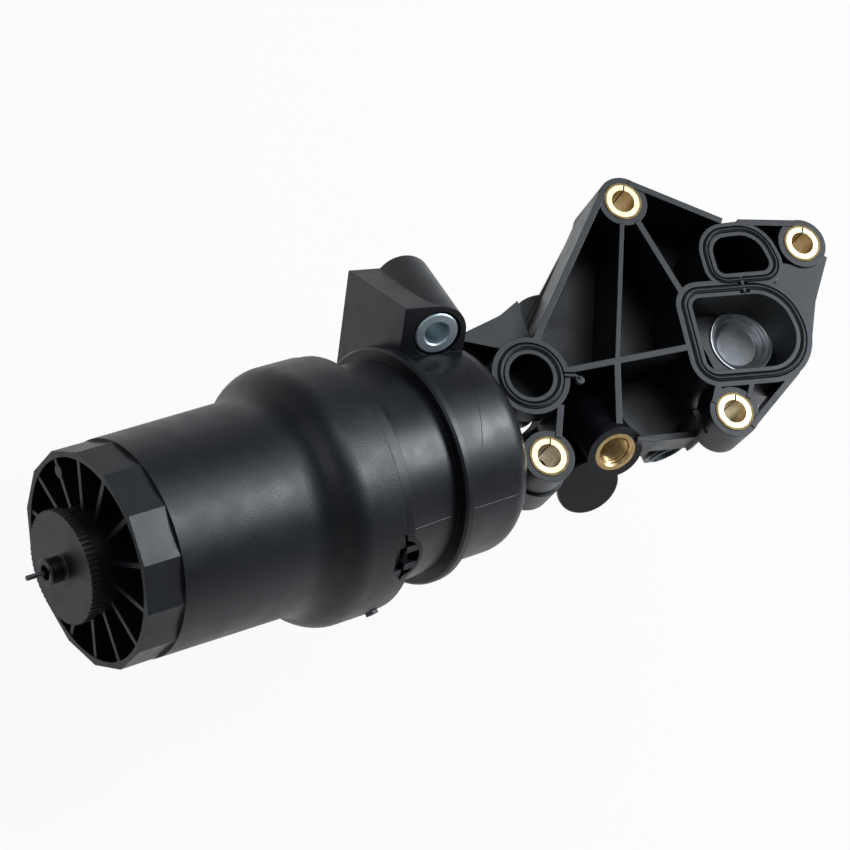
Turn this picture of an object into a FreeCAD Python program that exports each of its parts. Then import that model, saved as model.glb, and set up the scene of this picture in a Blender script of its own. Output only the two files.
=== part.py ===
import FreeCAD, Part
import math
import os

# Oil filter housing: a moulded body with a ribbed mounting flange, and a screw-on bowl that
# holds a pleated filter element. Millimetres. The origin is the centre of the round oil port on
# the flange's sealing face. +Z points out of that face, towards the engine block. +X runs along
# the flange, away from the bowl's cap.

V = FreeCAD.Vector
os.makedirs("parts", exist_ok=True)

# Where the bowl lies: its axis passes under the round port and to one side, cap end tilted up
AXIS_DROP = 31.6
AXIS_ASIDE = -9.6
BOWL_TILT = 12.2
REAR_TO_PORT = 31.7

# Cap with bell: one moulding
CAP_LENGTH = 98.4
FLATS = 14
ACROSS_FLATS = 74.4
FLAT_BAND = 14.2
CAP_RIM_RADIUS = 38.3
CAP_DRAFT = 0.8
CAP_WALL = 2.9
BELL_RADIUS = 47.2
BELL_LENGTH = 14.0
SHOULDER_LENGTH = 18.0
CLOSURE_DEPTH = 20.0
CLOSURE_WALL = 3.0
HUB_SEAT = 4.0
RIB_THICKNESS = 1.7
RIB_BELOW_RIM = 0.4
PLUG_BOSS_RADIUS = 18.5
PAD_RADIUS = 2.2
PAD_RIB = 4
NUB_SIZE = 2.4
NUB_ANGLE = -95.0

# Drain plug and its valve pin
PLUG_DISC_RADIUS = 19.7
PLUG_DISC_THICKNESS = 3.8
PLUG_DISC_OUT = 9.6
PLUG_TEETH = 64
TOOTH_DEPTH = 0.4
PLUG_STEM_RADIUS = 11.5
PLUG_STEM_LENGTH = 22.0
NOZZLE_RADIUS = 4.4
NOZZLE_BORE = 2.7
NOZZLE_LENGTH = 6.0
PIN_RADIUS = 0.9
PIN_OUT = 7.0
PIN_HEAD_RADIUS = 5.2
PIN_HEAD_THICKNESS = 1.8
PIN_SPRING_RADIUS = 4.2
PIN_SPRING_WIRE = 0.4
PIN_SPRING_TURNS = 4
WIRE_FLATS = 8
VALVE_CHAMBER_RADIUS = 7.0
VALVE_CHAMBER_LENGTH = 12.0
CLIP_THICKNESS = 1.0
CLIP_SET_IN = 2.0
CLIP_GRIP = 1.0
PLUG_RING_SECTION = 2.4

# Filter element
ELEMENT_RADIUS = 33.4
MEDIA_RADIUS = 32.2
MEDIA_ROOT_RADIUS = 17.5
MEDIA_SHEET = 1.0
PLEATS = 40
PLEAT_FOLD = 2.6
ELEMENT_LENGTH = 118.0
END_DISC = 3.0
CORE_RADIUS = 14.5
CORE_WALL = 1.5
CORE_HOLE_RADIUS = 3.0
CORE_HOLE_ROWS = 6
CORE_HOLES_AROUND = 8
HUB_RADIUS = 9.0
HUB_WALL = 2.0
BODY_COLLAR_LENGTH = 3.0
BODY_COLLAR_WALL = 2.0

# Body: the bowl half that is moulded with the flange
BODY_BORE = 36.0
LIP_RADIUS = 46.7
LIP_LENGTH = 4.2
BARREL_RADIUS = 39.8
BARREL_LENGTH = 25.0
BARREL_DRAFT = 1.0
COLLAR_RADIUS = 44.2
COLLAR_LENGTH = 3.4
COLLAR_CHAMFER = 0.8
BOWL_PAST_ELEMENT = 14.2
END_FILLET = 8.0
END_RISE = 5.0
NECK_RADIUS = 43.2
NECK_LENGTH = 13.0
NECK_WALL = 5.0
MOUTH_LEAD = 4.0
LATCH_ANGLE = -56.0
LATCH_WIDTH = 19.0
LATCH_RIM = 1.6
LATCH_REACH = 3.2
LATCH_PROUD = 1.2
LATCH_DEPTH = 4.6
LATCH_POST_WIDTH = 2.4
LATCH_POST_ASIDE = 3.6
O_RING_SECTION = 3.2
GROOVE_LENGTHS = 1.2

# Standpipe and bypass valve
PIPE_RADIUS = 8.2
PIPE_BORE = 6.2
PIPE_LENGTH = 112.0
PIPE_TAIL = 6.0
PIPE_WINDOWS = 4
WINDOW_WIDTH = 4.0
WINDOW_LENGTH = 30.0
SHELF_BEHIND_TIP = 24.0
SHELF_WIDTH = 1.2
BYPASS_SEAT_LENGTH = 3.0
BYPASS_SEAT_BORE = 3.6
POPPET_RADIUS = 5.8
POPPET_THICKNESS = 2.0
POPPET_STEM_RADIUS = 2.0
POPPET_STEM_LENGTH = 9.0
BYPASS_SPRING_RADIUS = 5.3
BYPASS_SPRING_WIRE = 0.45
BYPASS_SPRING_TURNS = 5

# Flange
FLANGE_DEPTH = 29.4
FLOOR_THICKNESS = 3.0
WALL = 2.5
THIN_RIB = 1.8
BOSS_RADIUS = 9.9
BOSS_SET_BACK = 0.3
SLEEVE_RADIUS = 7.35
SLEEVE_BORE = 4.5
SLEEVE_SLIT = 0.5
SLIT_ANGLE = 60.0
BOLT_TOP_LEFT = (67.1, 51.6)
BOLT_TOP_RIGHT = (129.6, 12.8)
BOLT_LOW_RIGHT = (69.6, -39.3)
BOLT_LOW_LEFT = (-7.5, -30.3)
TOP_DEPTH = 29.4
LOW_RIGHT_DEPTH = 17.9
LOW_LEFT_DEPTH = 15.0
FOOT_OVER_BOLT = 3.0

# Where walls and ribs leave the bosses, in degrees about each boss from +X towards +Y
LEFT_WALL_AT_BOSS = 132.7
LEFT_WALL_AT_PORT = 56.9
TOP_WALL_AT_BOSS = 47.8
RIGHT_WALL_AT_BOSS = 75.0
FOOT_WALL_AT_BOSS = -63.0
LOW_WALL_AT_BOSS = -176.8
END_WALL_AT_BOSS = (142.8, -166.0)
LONG_RIB_AT_BOSS = -119.9
SHORT_RIB_AT_BOSS = -78.8
CROSS_RIB_AT_PORT = -11.1
LINK_RIB_AT_PORT = -67.1
LINK_RIB_AT_BOSS = 38.1
STAY_AT_BOSS = (136.8, 20.2)
CORNER_AT_BOSS = (-125.3, -40.0, -74.1)
# Where they meet the ports: share of the way along a port's side
TOP_WALL_SHARE = 0.382
RIGHT_WALL_SHARE = 0.724
FOOT_WALL_SHARE = 0.166
SHORT_RIB_SHARE = 1.073
CROSS_RIB_SHARE = 0.353
STAY_SHARES = (0.936, 0.617)
RIB_MEETING = 0.413
CORNER_SHARES = (1.035, 0.28, 0.62)
CORNER_SET_BACK = 1.2
CORNER_THICKNESS = 4.8
HEM_SHARE = 0.759
SKIRT_AT_BOSS = -47.0
SKIRT_SHARE = 0.248
# Where two ribs and a small stay meet the sensor boss, and how far low walls rise past their boss
LOW_WALL_AT_SENSOR = 50.0
LONG_RIB_AT_SENSOR = 68.0
STAY_AT_SENSOR = (5.0, -9.0)
STAY_SET_BACK = 1.0
LOW_WALL_RISE = 2.0
FOOT_WALL_RISE = 1.0
# The floor's edge: share of a boss's radius, angles about bosses and ports
FLOOR_INSET = 0.9
FLOOR_PAST_LEFT_WALL = 11.0
FLOOR_AT_LOW_RIGHT = [(1.8, 10.0), (0.5, 0.0), (0.75, 180.0)]
FLOOR_OVER_SENSOR = 7.0
FLOOR_UNDER_PORT = -78.0
FLOOR_AT_LOW_LEFT = 80.0
# The web between round port, lug and check valve chamber
WEB_REACH = 28.4
WEB_MEETS_LUG = 121.5
WEB_AT_PORT = 95.6
WEB_AT_CHAMBER = 166.3
WEB_ON_CHAMBER = 150.1
WEB_EDGE = 1.3

# Ports in the flange face: hole, inner lip, seal groove and outer land
ROUND_PORT = (0.0, 0.0)
ROUND_PORT_BORE = 8.5
ROUND_COLLAR_DEPTH = 8.0
ROUND_PORT_DEPTH = 17.0
LARGE_PORT = [(74.1, 7.0), (109.5, -1.9), (109.5, -32.6), (67.4, -21.6)]
LARGE_PORT_FILLETS = [3.7, 13.7, 13.7, 4.7]
SMALL_PORT = [(93.3, 26.6), (112.4, 22.7), (112.6, 6.7), (90.3, 12.2)]
SMALL_PORT_FILLETS = [6.3, 9.5, 3.7, 3.2]
PORT_LIP = 1.7
GROOVE_WIDTH = 2.8
PORT_LAND = 2.1
GROOVE_DEPTH = 3.0
SEAL_SIDE_GAP = 0.35
SEAL_PROUD = 0.6
SEAL_CREST = 1.1
SEAL_CREST_ROOT = 0.5
SMALL_PORT_PINCH = 0.4
SMALL_PORT_LAND_CUT = 0.9
TAIL_START = (11.5, -3.7)
TAIL_END = (16.4, -5.5)
TAIL_BULB = (17.4, -7.8)
TAIL_WIDTH = 1.4
TAIL_ROOM = 0.8
BULB_RADIUS = 1.8
BRIDGE_NOTCH = [(96.2, 8.9), (100.2, 8.1), (98.9, 1.6), (94.9, 2.4)]
BRIDGE_START = (98.1, 8.4)
BRIDGE_END = (96.9, 2.3)
LARGE_PORT_DEPTH = 21.0

# Pressed steel cup in the large port's floor
CUP_CENTRE = (98.2, -10.6)
CUP_RADIUS = 13.2
CUP_WALL = 1.0
CUP_STEPS = 3
CUP_STEP_DEPTH = 2.4
CUP_STEP_IN = 1.9
CUP_PROUD = 0.6

# Ducts and valve chambers behind the flange
DUCT_DROP = 42.0
LONG_DUCT_RADIUS = 13.5
LONG_DUCT_END = V(88.0, -12.0, -DUCT_DROP)
LARGE_PORT_SLOT = [(74.0, 1.6), (81.9, 0.0), (81.9, -18.9), (71.9, -16.8)]
SHORT_DUCT_DROP = 38.0
SHORT_DUCT_RADIUS = 10.0
SHORT_DUCT_END = V(101.0, 16.0, -SHORT_DUCT_DROP)
DUCT_WALL = 3.0
INLET_RADIUS = 9.0
INLET_END = V(-30.0, 8.0, -12.0)
OUTLET_RADIUS = 12.0
LINK_RADIUS = 8.0
LINK_END = V(-30.0, 11.0, -44.0)
MAIN_CHAMBER = (23.0, -6.0)
MAIN_CHAMBER_RADIUS = 13.0
MAIN_CHAMBER_DROP = 64.0
CHECK_CHAMBER = (28.5, 20.0)
CHECK_CHAMBER_RADIUS = 16.0
CHECK_SPRING_LENGTH = 10.35
CHAMBER_ROUNDING = 6.0
CHECK_SEAT_BORE = 7.0
CHECK_SEAT_THICKNESS = 2.0
CHECK_OVERLAP = 1.5
CHECK_DISC_THICKNESS = 1.6
CHECK_STEM_RADIUS = 1.8
CHECK_STEM_LENGTH = 5.0
CHECK_SPRING_RADIUS = 5.5
CHECK_SPRING_WIRE = 0.4
CHECK_SPRING_TURNS = 5

# Side features whose axes lean out of the flange: lug, sensor port, relief valve
SIDE_DIRECTION = V(-0.17, -0.785, 0.595)
LUG_FACE = V(-32.0, 23.5, 11.0)
LUG_LEFT = V(-0.972, 0.232, 0.028)
LUG_LENGTH = 37.2
LUG_BOSS_RADIUS = 11.2
LUG_SLEEVE_RADIUS = 8.15
LUG_SLEEVE_BORE = 4.5
EDGE_CHAMFER = 0.5
LUG_RECESS = 0.9
LUG_RECESS_DEPTH = 2.5
LUG_FRONT_REACH = 13.4
LUG_BACK_REACH = 21.4
LUG_TOP_FRONT = 11.4
LUG_TOP_BACK = 6.5
LUG_BOTTOM_FRONT = 14.0
# The lug's underside: length back from its face and depth, as shares of its length
LUG_UNDERSIDE = [(0.72, 0.72), (1.0, 1.035)]
SENSOR_FACE = V(20.5, -36.4, -6.3)
SENSOR_COLLAR_RADIUS = 10.9
SENSOR_COLLAR_LENGTH = 7.0
SENSOR_BOSS_RADIUS = 9.7
SENSOR_BOSS_LENGTH = 38.0
INSERT_RADIUS = 7.9
INSERT_BORE = 5.6
INSERT_LENGTH = 16.0
INSERT_CHAMFER = 0.8
OIL_WAY_RADIUS = 3.6
COVER_FACE = V(17.1, -40.2, -31.5)
COVER_RADIUS = 12.2
COVER_RIM = 2.0
RELIEF_BOSS_RADIUS = 11.0
RELIEF_BORE = 7.0
RELIEF_BOSS_LENGTH = 34.0
COVER_SPIGOT = 8.0
SPIGOT_WALL = 2.5
COVER_RING_SECTION = 1.5
COVER_RING_DEPTH = 4.2
RELIEF_PISTON_LENGTH = 8.0
RELIEF_PISTON_WALL = 2.0
RELIEF_PISTON_PAST_BORE = 1.0
RELIEF_SPRING_RADIUS = 3.6
RELIEF_SPRING_WIRE = 0.5
RELIEF_SPRING_TURNS = 9
GALLERY_X = 58.8
GALLERY_END = -36.3
GALLERY_BOSS_RADIUS = 9.5
STEEL_PLUG_RADIUS = 7.0
STEEL_PLUG_DEPTH = 6.0
STEEL_PLUG_PROUD = 1.2
STEEL_PLUG_WALL = 1.2

# Clearances
RUN_FIT = 0.05
SEAT_GAP = 0.3


def unit(vector):
    """The direction of a vector, as a new vector of length one."""
    return V(vector).normalize()


def outline(start, steps):
    """A closed wire in the XZ plane: each step is an end point, or a point passed and an end."""
    edges = []
    here = start
    for step in list(steps) + [start]:
        if isinstance(step[0], tuple):
            passed, end = step
            edges.append(Part.Arc(flat(here), flat(passed), flat(end)).toShape())
        else:
            end = step
            if math.dist(here, end) > 1e-6:
                edges.append(Part.LineSegment(flat(here), flat(end)).toShape())
        here = end
    return Part.Wire(edges)


def flat(point):
    """A (radius, height) pair as a point of the XZ plane."""
    return V(point[0], 0, point[1])


def turned(start, steps):
    """A solid of revolution about Z from a closed (radius, height) outline."""
    return Part.Face(outline(start, steps)).revolve(V(0, 0, 0), V(0, 0, 1), 360)


def tube(outer, inner, low, high):
    """A plain tube about Z between two heights; a disc where the inner radius is zero."""
    ring = Part.makeCylinder(outer, high - low, V(0, 0, low))
    if inner > 0:
        ring = ring.cut(Part.makeCylinder(inner, high - low, V(0, 0, low)))
    return ring


def s_curve(r0, s0, r1, s1):
    """Two equal tangent arcs that lead from one cylinder to a wider or narrower one."""
    half_length = (s1 - s0) / 2
    half_rise = (r1 - r0) / 2
    radius = (half_length**2 + half_rise**2) / (2 * abs(half_rise))
    turn = math.asin(half_length / radius) / 2
    side = math.copysign(radius * (1 - math.cos(turn)), half_rise)
    along = radius * math.sin(turn)
    middle = (r0 + half_rise, s0 + half_length)
    return [((r0 + side, s0 + along), middle), ((r1 - side, s1 - along), (r1, s1))]


def rounded_wire(corners, fillets, z=0.0):
    """A closed wire at height z through the corners, each rounded by its own radius."""
    count = len(corners)
    entries = []
    for i in range(count):
        corner = V(*corners[i], z)
        before = unit(V(*corners[i - 1], z) - corner)
        after = unit(V(*corners[(i + 1) % count], z) - corner)
        half = before.getAngle(after) / 2
        cut_back = fillets[i] / math.tan(half)
        centre = corner + unit(before + after) * (fillets[i] / math.sin(half))
        middle = centre + unit(corner - centre) * fillets[i]
        entries.append((corner + before * cut_back, middle, corner + after * cut_back))
    edges = []
    for i in range(count):
        first, middle, last = entries[i]
        edges.append(Part.Arc(first, middle, last).toShape())
        edges.append(Part.LineSegment(last, entries[(i + 1) % count][0]).toShape())
    return Part.Wire(edges)


def grown(wire, distance):
    """The wire moved outwards by a distance, with round corners."""
    if distance == 0:
        return wire
    return wire.makeOffset2D(distance)


def plate(wire, top, bottom):
    """A plate under a wire at height zero, between two heights."""
    face = Part.Face(wire)
    face.translate(V(0, 0, bottom))
    return face.extrude(V(0, 0, top - bottom))


def polygon(points):
    """A closed straight-edged wire at height zero."""
    corners = [V(x, y, 0) for x, y in points]
    return Part.makePolygon(corners + [corners[0]])


def rib(start, end, thickness, top, bottom):
    """An upright rib between two points of the flange, seen from its face."""
    a = V(*start, bottom)
    b = V(*end, bottom)
    side = unit(V(-(b - a).y, (b - a).x, 0)) * (thickness / 2)
    base = Part.makePolygon([a + side, b + side, b - side, a - side, a + side])
    return Part.Face(base).extrude(V(0, 0, top - bottom))


def rod(radius, start, direction, length):
    """A cylinder from a point along a direction."""
    return Part.makeCylinder(radius, length, start, direction)


def placed_on_bowl(shape):
    """Moves a shape made about Z, with its height counted from the cap's rim, to the bowl."""
    moved = shape.copy()
    moved.Placement = BOWL_PLACE.multiply(moved.Placement)
    return moved


def bowl_point(height, radius, angle):
    """A point by height from the cap's rim, radius, and angle from straight up towards +Y."""
    turn = math.radians(180 - angle)
    return BOWL_PLACE.multVec(V(radius * math.cos(turn), radius * math.sin(turn), height))


def placed_along(shape, face, direction):
    """Moves a shape made about Z, whose face is at height zero, to a face and its outward axis."""
    moved = shape.copy()
    place = FreeCAD.Placement(face, FreeCAD.Rotation(V(0, 0, 1), direction))
    moved.Placement = place.multiply(moved.Placement)
    return moved


def coil(radius, wire_radius, low, high, turns):
    """A compression spring about Z: a wire with small flats, swept along a helix."""
    rise = high - low - 2 * wire_radius
    helix = Part.makeLongHelix(rise / turns, rise, radius)
    corners = []
    for i in range(WIRE_FLATS):
        turn = 2 * math.pi * (i + 0.5) / WIRE_FLATS
        corners.append(V(radius + wire_radius * math.cos(turn), 0, wire_radius * math.sin(turn)))
    section = Part.makePolygon(corners + [corners[0]])
    spring = Part.Wire(helix).makePipeShell([section], True, True)
    spring.translate(V(0, 0, low + wire_radius))
    return spring


def torus(radius, section, height):
    """A rubber ring about Z at a height."""
    return Part.makeTorus(radius, section / 2, V(0, 0, height))


def save(name, shape):
    """Writes one node, after joining faces that lie in one surface."""
    clean = shape.removeSplitter()
    clean.exportStep("parts/" + name + ".step")
    return clean


# Heights along the bowl axis, counted from the cap's rim
SEAM = CAP_LENGTH
BELL_START = SEAM - BELL_LENGTH
CREASE = BELL_START - SHOULDER_LENGTH
CLOSURE_END = CLOSURE_DEPTH + CLOSURE_WALL
ELEMENT_START = CLOSURE_END + HUB_SEAT + SEAT_GAP
ELEMENT_END = ELEMENT_START + ELEMENT_LENGTH
CAP_BORE = CAP_RIM_RADIUS - CAP_WALL
CREASE_RADIUS = CAP_RIM_RADIUS + CAP_DRAFT
BELL_BORE = NECK_RADIUS + SEAT_GAP
LIP_START = SEAM + SEAT_GAP
LIP_END = LIP_START + LIP_LENGTH
BARREL_END = LIP_END + BARREL_LENGTH
COLLAR_END = BARREL_END + COLLAR_LENGTH
BODY_WALL = BARREL_RADIUS - BODY_BORE
REAR_END = ELEMENT_END + BOWL_PAST_ELEMENT - END_FILLET + BODY_WALL
DOME_EDGE = REAR_END + END_FILLET
DOME_END = DOME_EDGE + END_RISE

# The bowl's place: its closed end keeps its distance from the port
RIM_TO_PORT = REAR_END + REAR_TO_PORT
LEAN = math.radians(BOWL_TILT)
AXIS = V(math.cos(LEAN), 0, -math.sin(LEAN))
BOWL_PLACE = FreeCAD.Placement(V(0, AXIS_ASIDE, -AXIS_DROP) - AXIS * RIM_TO_PORT,
                               FreeCAD.Rotation(V(0, 1, 0), 90 + BOWL_TILT))
SIDE = unit(SIDE_DIRECTION)

# Drain plug and element, along the same axis
PLUG_FACE = -PLUG_DISC_OUT
PLUG_UNDER = PLUG_FACE + PLUG_DISC_THICKNESS
PLUG_STEM_END = PLUG_UNDER + SEAT_GAP + PLUG_STEM_LENGTH
PLUG_RING_HEIGHT = PLUG_UNDER + PLUG_STEM_LENGTH / 2
VALVE_SEAT = PLUG_STEM_END - VALVE_CHAMBER_LENGTH
CLIP_HEIGHT = PLUG_STEM_END - CLIP_SET_IN
MEDIA_START = ELEMENT_START + END_DISC
MEDIA_END = ELEMENT_END - END_DISC
O_RING_HEIGHT = LIP_START - O_RING_SECTION
PIPE_END = DOME_END + PIPE_TAIL
PIPE_START = PIPE_END - PIPE_LENGTH
POPPET_FACE = PIPE_START + BYPASS_SEAT_LENGTH + RUN_FIT
SPRING_SHELF = PIPE_START + SHELF_BEHIND_TIP

# Flange: levels, port outlines and bosses
FLOOR_LEVEL = -FLANGE_DEPTH + FLOOR_THICKNESS
LARGE_WIRE = rounded_wire(LARGE_PORT, LARGE_PORT_FILLETS)
SMALL_WIRE = rounded_wire(SMALL_PORT, SMALL_PORT_FILLETS)
PORT_GROWTH = PORT_LIP + GROOVE_WIDTH + PORT_LAND
ROUND_PORT_RADIUS = ROUND_PORT_BORE + PORT_GROWTH
BOSSES = [(BOLT_TOP_LEFT, TOP_DEPTH), (BOLT_TOP_RIGHT, TOP_DEPTH),
          (BOLT_LOW_RIGHT, LOW_RIGHT_DEPTH), (BOLT_LOW_LEFT, LOW_LEFT_DEPTH)]

# Behind the flange: duct ends and valve heights
CHECK_HEIGHT = -SHORT_DUCT_DROP - SHORT_DUCT_RADIUS + DUCT_WALL - CHECK_SEAT_THICKNESS
CHECK_DISC_UNDER = CHECK_HEIGHT - RUN_FIT - CHECK_DISC_THICKNESS
CHECK_FLOOR = CHECK_DISC_UNDER - CHECK_SPRING_LENGTH
CHECK_CHAMBER_DROP = DUCT_WALL - CHECK_FLOOR
LINK_START = V(CHECK_CHAMBER[0], CHECK_CHAMBER[1], CHECK_FLOOR + LINK_RADIUS - DUCT_WALL + 1)
INLET_START = V(0, 0, -ROUND_PORT_DEPTH + INLET_RADIUS - DUCT_WALL)
COVER_SEAT = COVER_FACE - SIDE * COVER_RIM
OUTLET_LENGTH = RIM_TO_PORT - REAR_END + MAIN_CHAMBER[0]
RELIEF_PISTON_BACK = COVER_RIM + RELIEF_BOSS_LENGTH - RELIEF_PISTON_PAST_BORE
RELIEF_PISTON_FRONT = RELIEF_PISTON_BACK - RELIEF_PISTON_LENGTH


def filter_cap():
    """The screw-on cap: fourteen flats, a satin barrel, a round shoulder and a wide bell."""
    inner_shoulder = BELL_START - CAP_WALL
    outer = turned((0, 0), [(CAP_RIM_RADIUS, 0), (CREASE_RADIUS, CREASE)]
                   + s_curve(CREASE_RADIUS, CREASE, BELL_RADIUS, BELL_START)
                   + [(BELL_RADIUS, SEAM), (0, SEAM)])
    # The flats are cut shallowly into the rim band and end in small steps
    vertex = ACROSS_FLATS / 2 / math.cos(math.pi / FLATS)
    corners = []
    for i in range(FLATS):
        turn = 2 * math.pi * i / FLATS
        corners.append((vertex * math.cos(turn), vertex * math.sin(turn)))
    band = tube(BELL_RADIUS, 0, 0, FLAT_BAND)
    outer = outer.cut(band.cut(plate(polygon(corners), FLAT_BAND, 0)))
    recess = tube(CAP_BORE, 0, 0, CLOSURE_DEPTH)
    hollow = turned((0, CLOSURE_END),
                    [(CAP_BORE, CLOSURE_END), (CAP_BORE, CREASE)]
                    + s_curve(CAP_BORE, CREASE, BELL_BORE, inner_shoulder)
                    + [(BELL_BORE, SEAM), (0, SEAM)])
    cap = outer.cut(recess).cut(hollow)
    boss_top = -PLUG_DISC_OUT + PLUG_DISC_THICKNESS + SEAT_GAP
    cap = cap.fuse(tube(PLUG_BOSS_RADIUS, 0, boss_top, CLOSURE_END))
    # Radial ribs stiffen the recess, one behind each corner of the flats
    reach = (PLUG_BOSS_RADIUS + CAP_BORE) / 2
    span = CAP_BORE - PLUG_BOSS_RADIUS + CAP_WALL
    for i in range(FLATS):
        web = Part.makeBox(span, RIB_THICKNESS, CLOSURE_DEPTH - RIB_BELOW_RIM)
        web.translate(V(reach - span / 2, -RIB_THICKNESS / 2, RIB_BELOW_RIM))
        web.rotate(V(0, 0, 0), V(0, 0, 1), 360 * i / FLATS)
        cap = cap.fuse(web)
    # A moulding pad stands in one rib near the wall
    pad = Part.makeCylinder(PAD_RADIUS, CLOSURE_DEPTH - RIB_BELOW_RIM / 2,
                            V(CAP_BORE - 2 * PAD_RADIUS, 0, RIB_BELOW_RIM / 2))
    pad.rotate(V(0, 0, 0), V(0, 0, 1), 360 * PAD_RIB / FLATS)
    cap = cap.fuse(pad)
    # Bore for the drain plug, and the socket that holds the element's hub
    cap = cap.cut(tube(PLUG_STEM_RADIUS + RUN_FIT, 0, boss_top, boss_top + PLUG_STEM_LENGTH + SEAT_GAP))
    socket = tube(HUB_RADIUS + CAP_WALL, HUB_RADIUS + RUN_FIT, CLOSURE_END, CLOSURE_END + HUB_SEAT)
    cap = cap.fuse(socket)
    cap = cap.cut(tube(NOZZLE_RADIUS, 0, boss_top, CLOSURE_END + HUB_SEAT))
    # A small nub on the bell's edge and a notch beside the body's latch
    nub = Part.makeBox(NUB_SIZE, 2 * NUB_SIZE, NUB_SIZE, V(BELL_RADIUS - NUB_SIZE / 2, -NUB_SIZE,
                                                           SEAM - NUB_SIZE))
    nub.rotate(V(0, 0, 0), V(0, 0, 1), 180 - NUB_ANGLE)
    cap = cap.fuse(nub)
    notch = Part.makeBox(2 * NUB_SIZE, LATCH_WIDTH / 2, 1.5 * NUB_SIZE,
                         V(BELL_RADIUS - NUB_SIZE, -LATCH_WIDTH / 4, SEAM - 1.5 * NUB_SIZE))
    notch.rotate(V(0, 0, 0), V(0, 0, 1), 180 - LATCH_ANGLE)
    return placed_on_bowl(cap.cut(notch))


def drain_plug():
    """The serrated plug in the cap's centre, with a nozzle and a bored stem."""
    disc = tube(PLUG_DISC_RADIUS, 0, PLUG_FACE, PLUG_UNDER)
    for i in range(PLUG_TEETH):
        groove = Part.makeCylinder(TOOTH_DEPTH, PLUG_DISC_THICKNESS, V(PLUG_DISC_RADIUS, 0, PLUG_FACE))
        groove.rotate(V(0, 0, 0), V(0, 0, 1), 360 * i / PLUG_TEETH)
        disc = disc.cut(groove)
    nozzle = tube(NOZZLE_RADIUS, 0, PLUG_FACE - NOZZLE_LENGTH, PLUG_FACE)
    stem = tube(PLUG_STEM_RADIUS, 0, PLUG_UNDER, PLUG_STEM_END)
    plug = disc.fuse(nozzle).fuse(stem)
    plug = plug.cut(tube(NOZZLE_BORE, 0, PLUG_FACE - NOZZLE_LENGTH, VALVE_SEAT))
    plug = plug.cut(tube(VALVE_CHAMBER_RADIUS, 0, VALVE_SEAT, PLUG_STEM_END))
    plug = plug.cut(tube(VALVE_CHAMBER_RADIUS + CLIP_GRIP, 0, CLIP_HEIGHT, CLIP_HEIGHT + CLIP_THICKNESS))
    half = PLUG_RING_SECTION * GROOVE_LENGTHS / 2
    ring = tube(PLUG_STEM_RADIUS, PLUG_STEM_RADIUS - PLUG_RING_SECTION,
                PLUG_RING_HEIGHT - half, PLUG_RING_HEIGHT + half)
    return placed_on_bowl(plug.cut(ring))


def drain_plug_o_ring():
    """The rubber ring in the drain plug's stem."""
    radius = PLUG_STEM_RADIUS - PLUG_RING_SECTION / 2
    return placed_on_bowl(torus(radius, PLUG_RING_SECTION - 2 * RUN_FIT, PLUG_RING_HEIGHT))


def drain_pin():
    """The sprung valve pin: a thin stem through the nozzle and a head against its seat."""
    tip = PLUG_FACE - NOZZLE_LENGTH - PIN_OUT
    stem = tube(PIN_RADIUS, 0, tip, VALVE_SEAT + RUN_FIT + PIN_HEAD_THICKNESS)
    head = tube(PIN_HEAD_RADIUS, 0, VALVE_SEAT + RUN_FIT, VALVE_SEAT + RUN_FIT + PIN_HEAD_THICKNESS)
    return placed_on_bowl(stem.fuse(head))


def drain_spring():
    """The small spring that holds the drain pin's head on its seat."""
    low = VALVE_SEAT + RUN_FIT + PIN_HEAD_THICKNESS + RUN_FIT
    high = CLIP_HEIGHT - RUN_FIT
    return placed_on_bowl(coil(PIN_SPRING_RADIUS, PIN_SPRING_WIRE, low, high, PIN_SPRING_TURNS))


def drain_clip():
    """The clip ring that the drain spring rests on."""
    return placed_on_bowl(tube(VALVE_CHAMBER_RADIUS + CLIP_GRIP, NOZZLE_BORE, CLIP_HEIGHT,
                               CLIP_HEIGHT + CLIP_THICKNESS))


def filter_media():
    """The pleated paper: one folded sheet closed into a star-shaped sleeve."""
    outer = []
    inner = []
    for i in range(2 * PLEATS):
        turn = math.pi * i / PLEATS
        deep = i % 2
        out_r = MEDIA_ROOT_RADIUS if deep else MEDIA_RADIUS
        in_r = out_r - (MEDIA_SHEET if deep else PLEAT_FOLD * MEDIA_SHEET)
        outer.append((out_r * math.cos(turn), out_r * math.sin(turn)))
        inner.append((in_r * math.cos(turn), in_r * math.sin(turn)))
    sleeve = plate(polygon(outer), MEDIA_END, MEDIA_START).cut(plate(polygon(inner), MEDIA_END, MEDIA_START))
    return placed_on_bowl(sleeve)


def element_cap_disc():
    """The element's end disc at the cap, with the hub that snaps into the cap."""
    disc = tube(ELEMENT_RADIUS, 0, ELEMENT_START, MEDIA_START)
    hub = tube(HUB_RADIUS, HUB_RADIUS - HUB_WALL, CLOSURE_END + SEAT_GAP, ELEMENT_START)
    return placed_on_bowl(disc.fuse(hub))


def element_body_disc():
    """The element's end disc at the body, with the collar that runs on the standpipe."""
    disc = tube(ELEMENT_RADIUS, PIPE_RADIUS + RUN_FIT, MEDIA_END, ELEMENT_END)
    collar = tube(PIPE_RADIUS + BODY_COLLAR_WALL, PIPE_RADIUS + RUN_FIT, ELEMENT_END,
                  ELEMENT_END + BODY_COLLAR_LENGTH)
    return placed_on_bowl(disc.fuse(collar))


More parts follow.
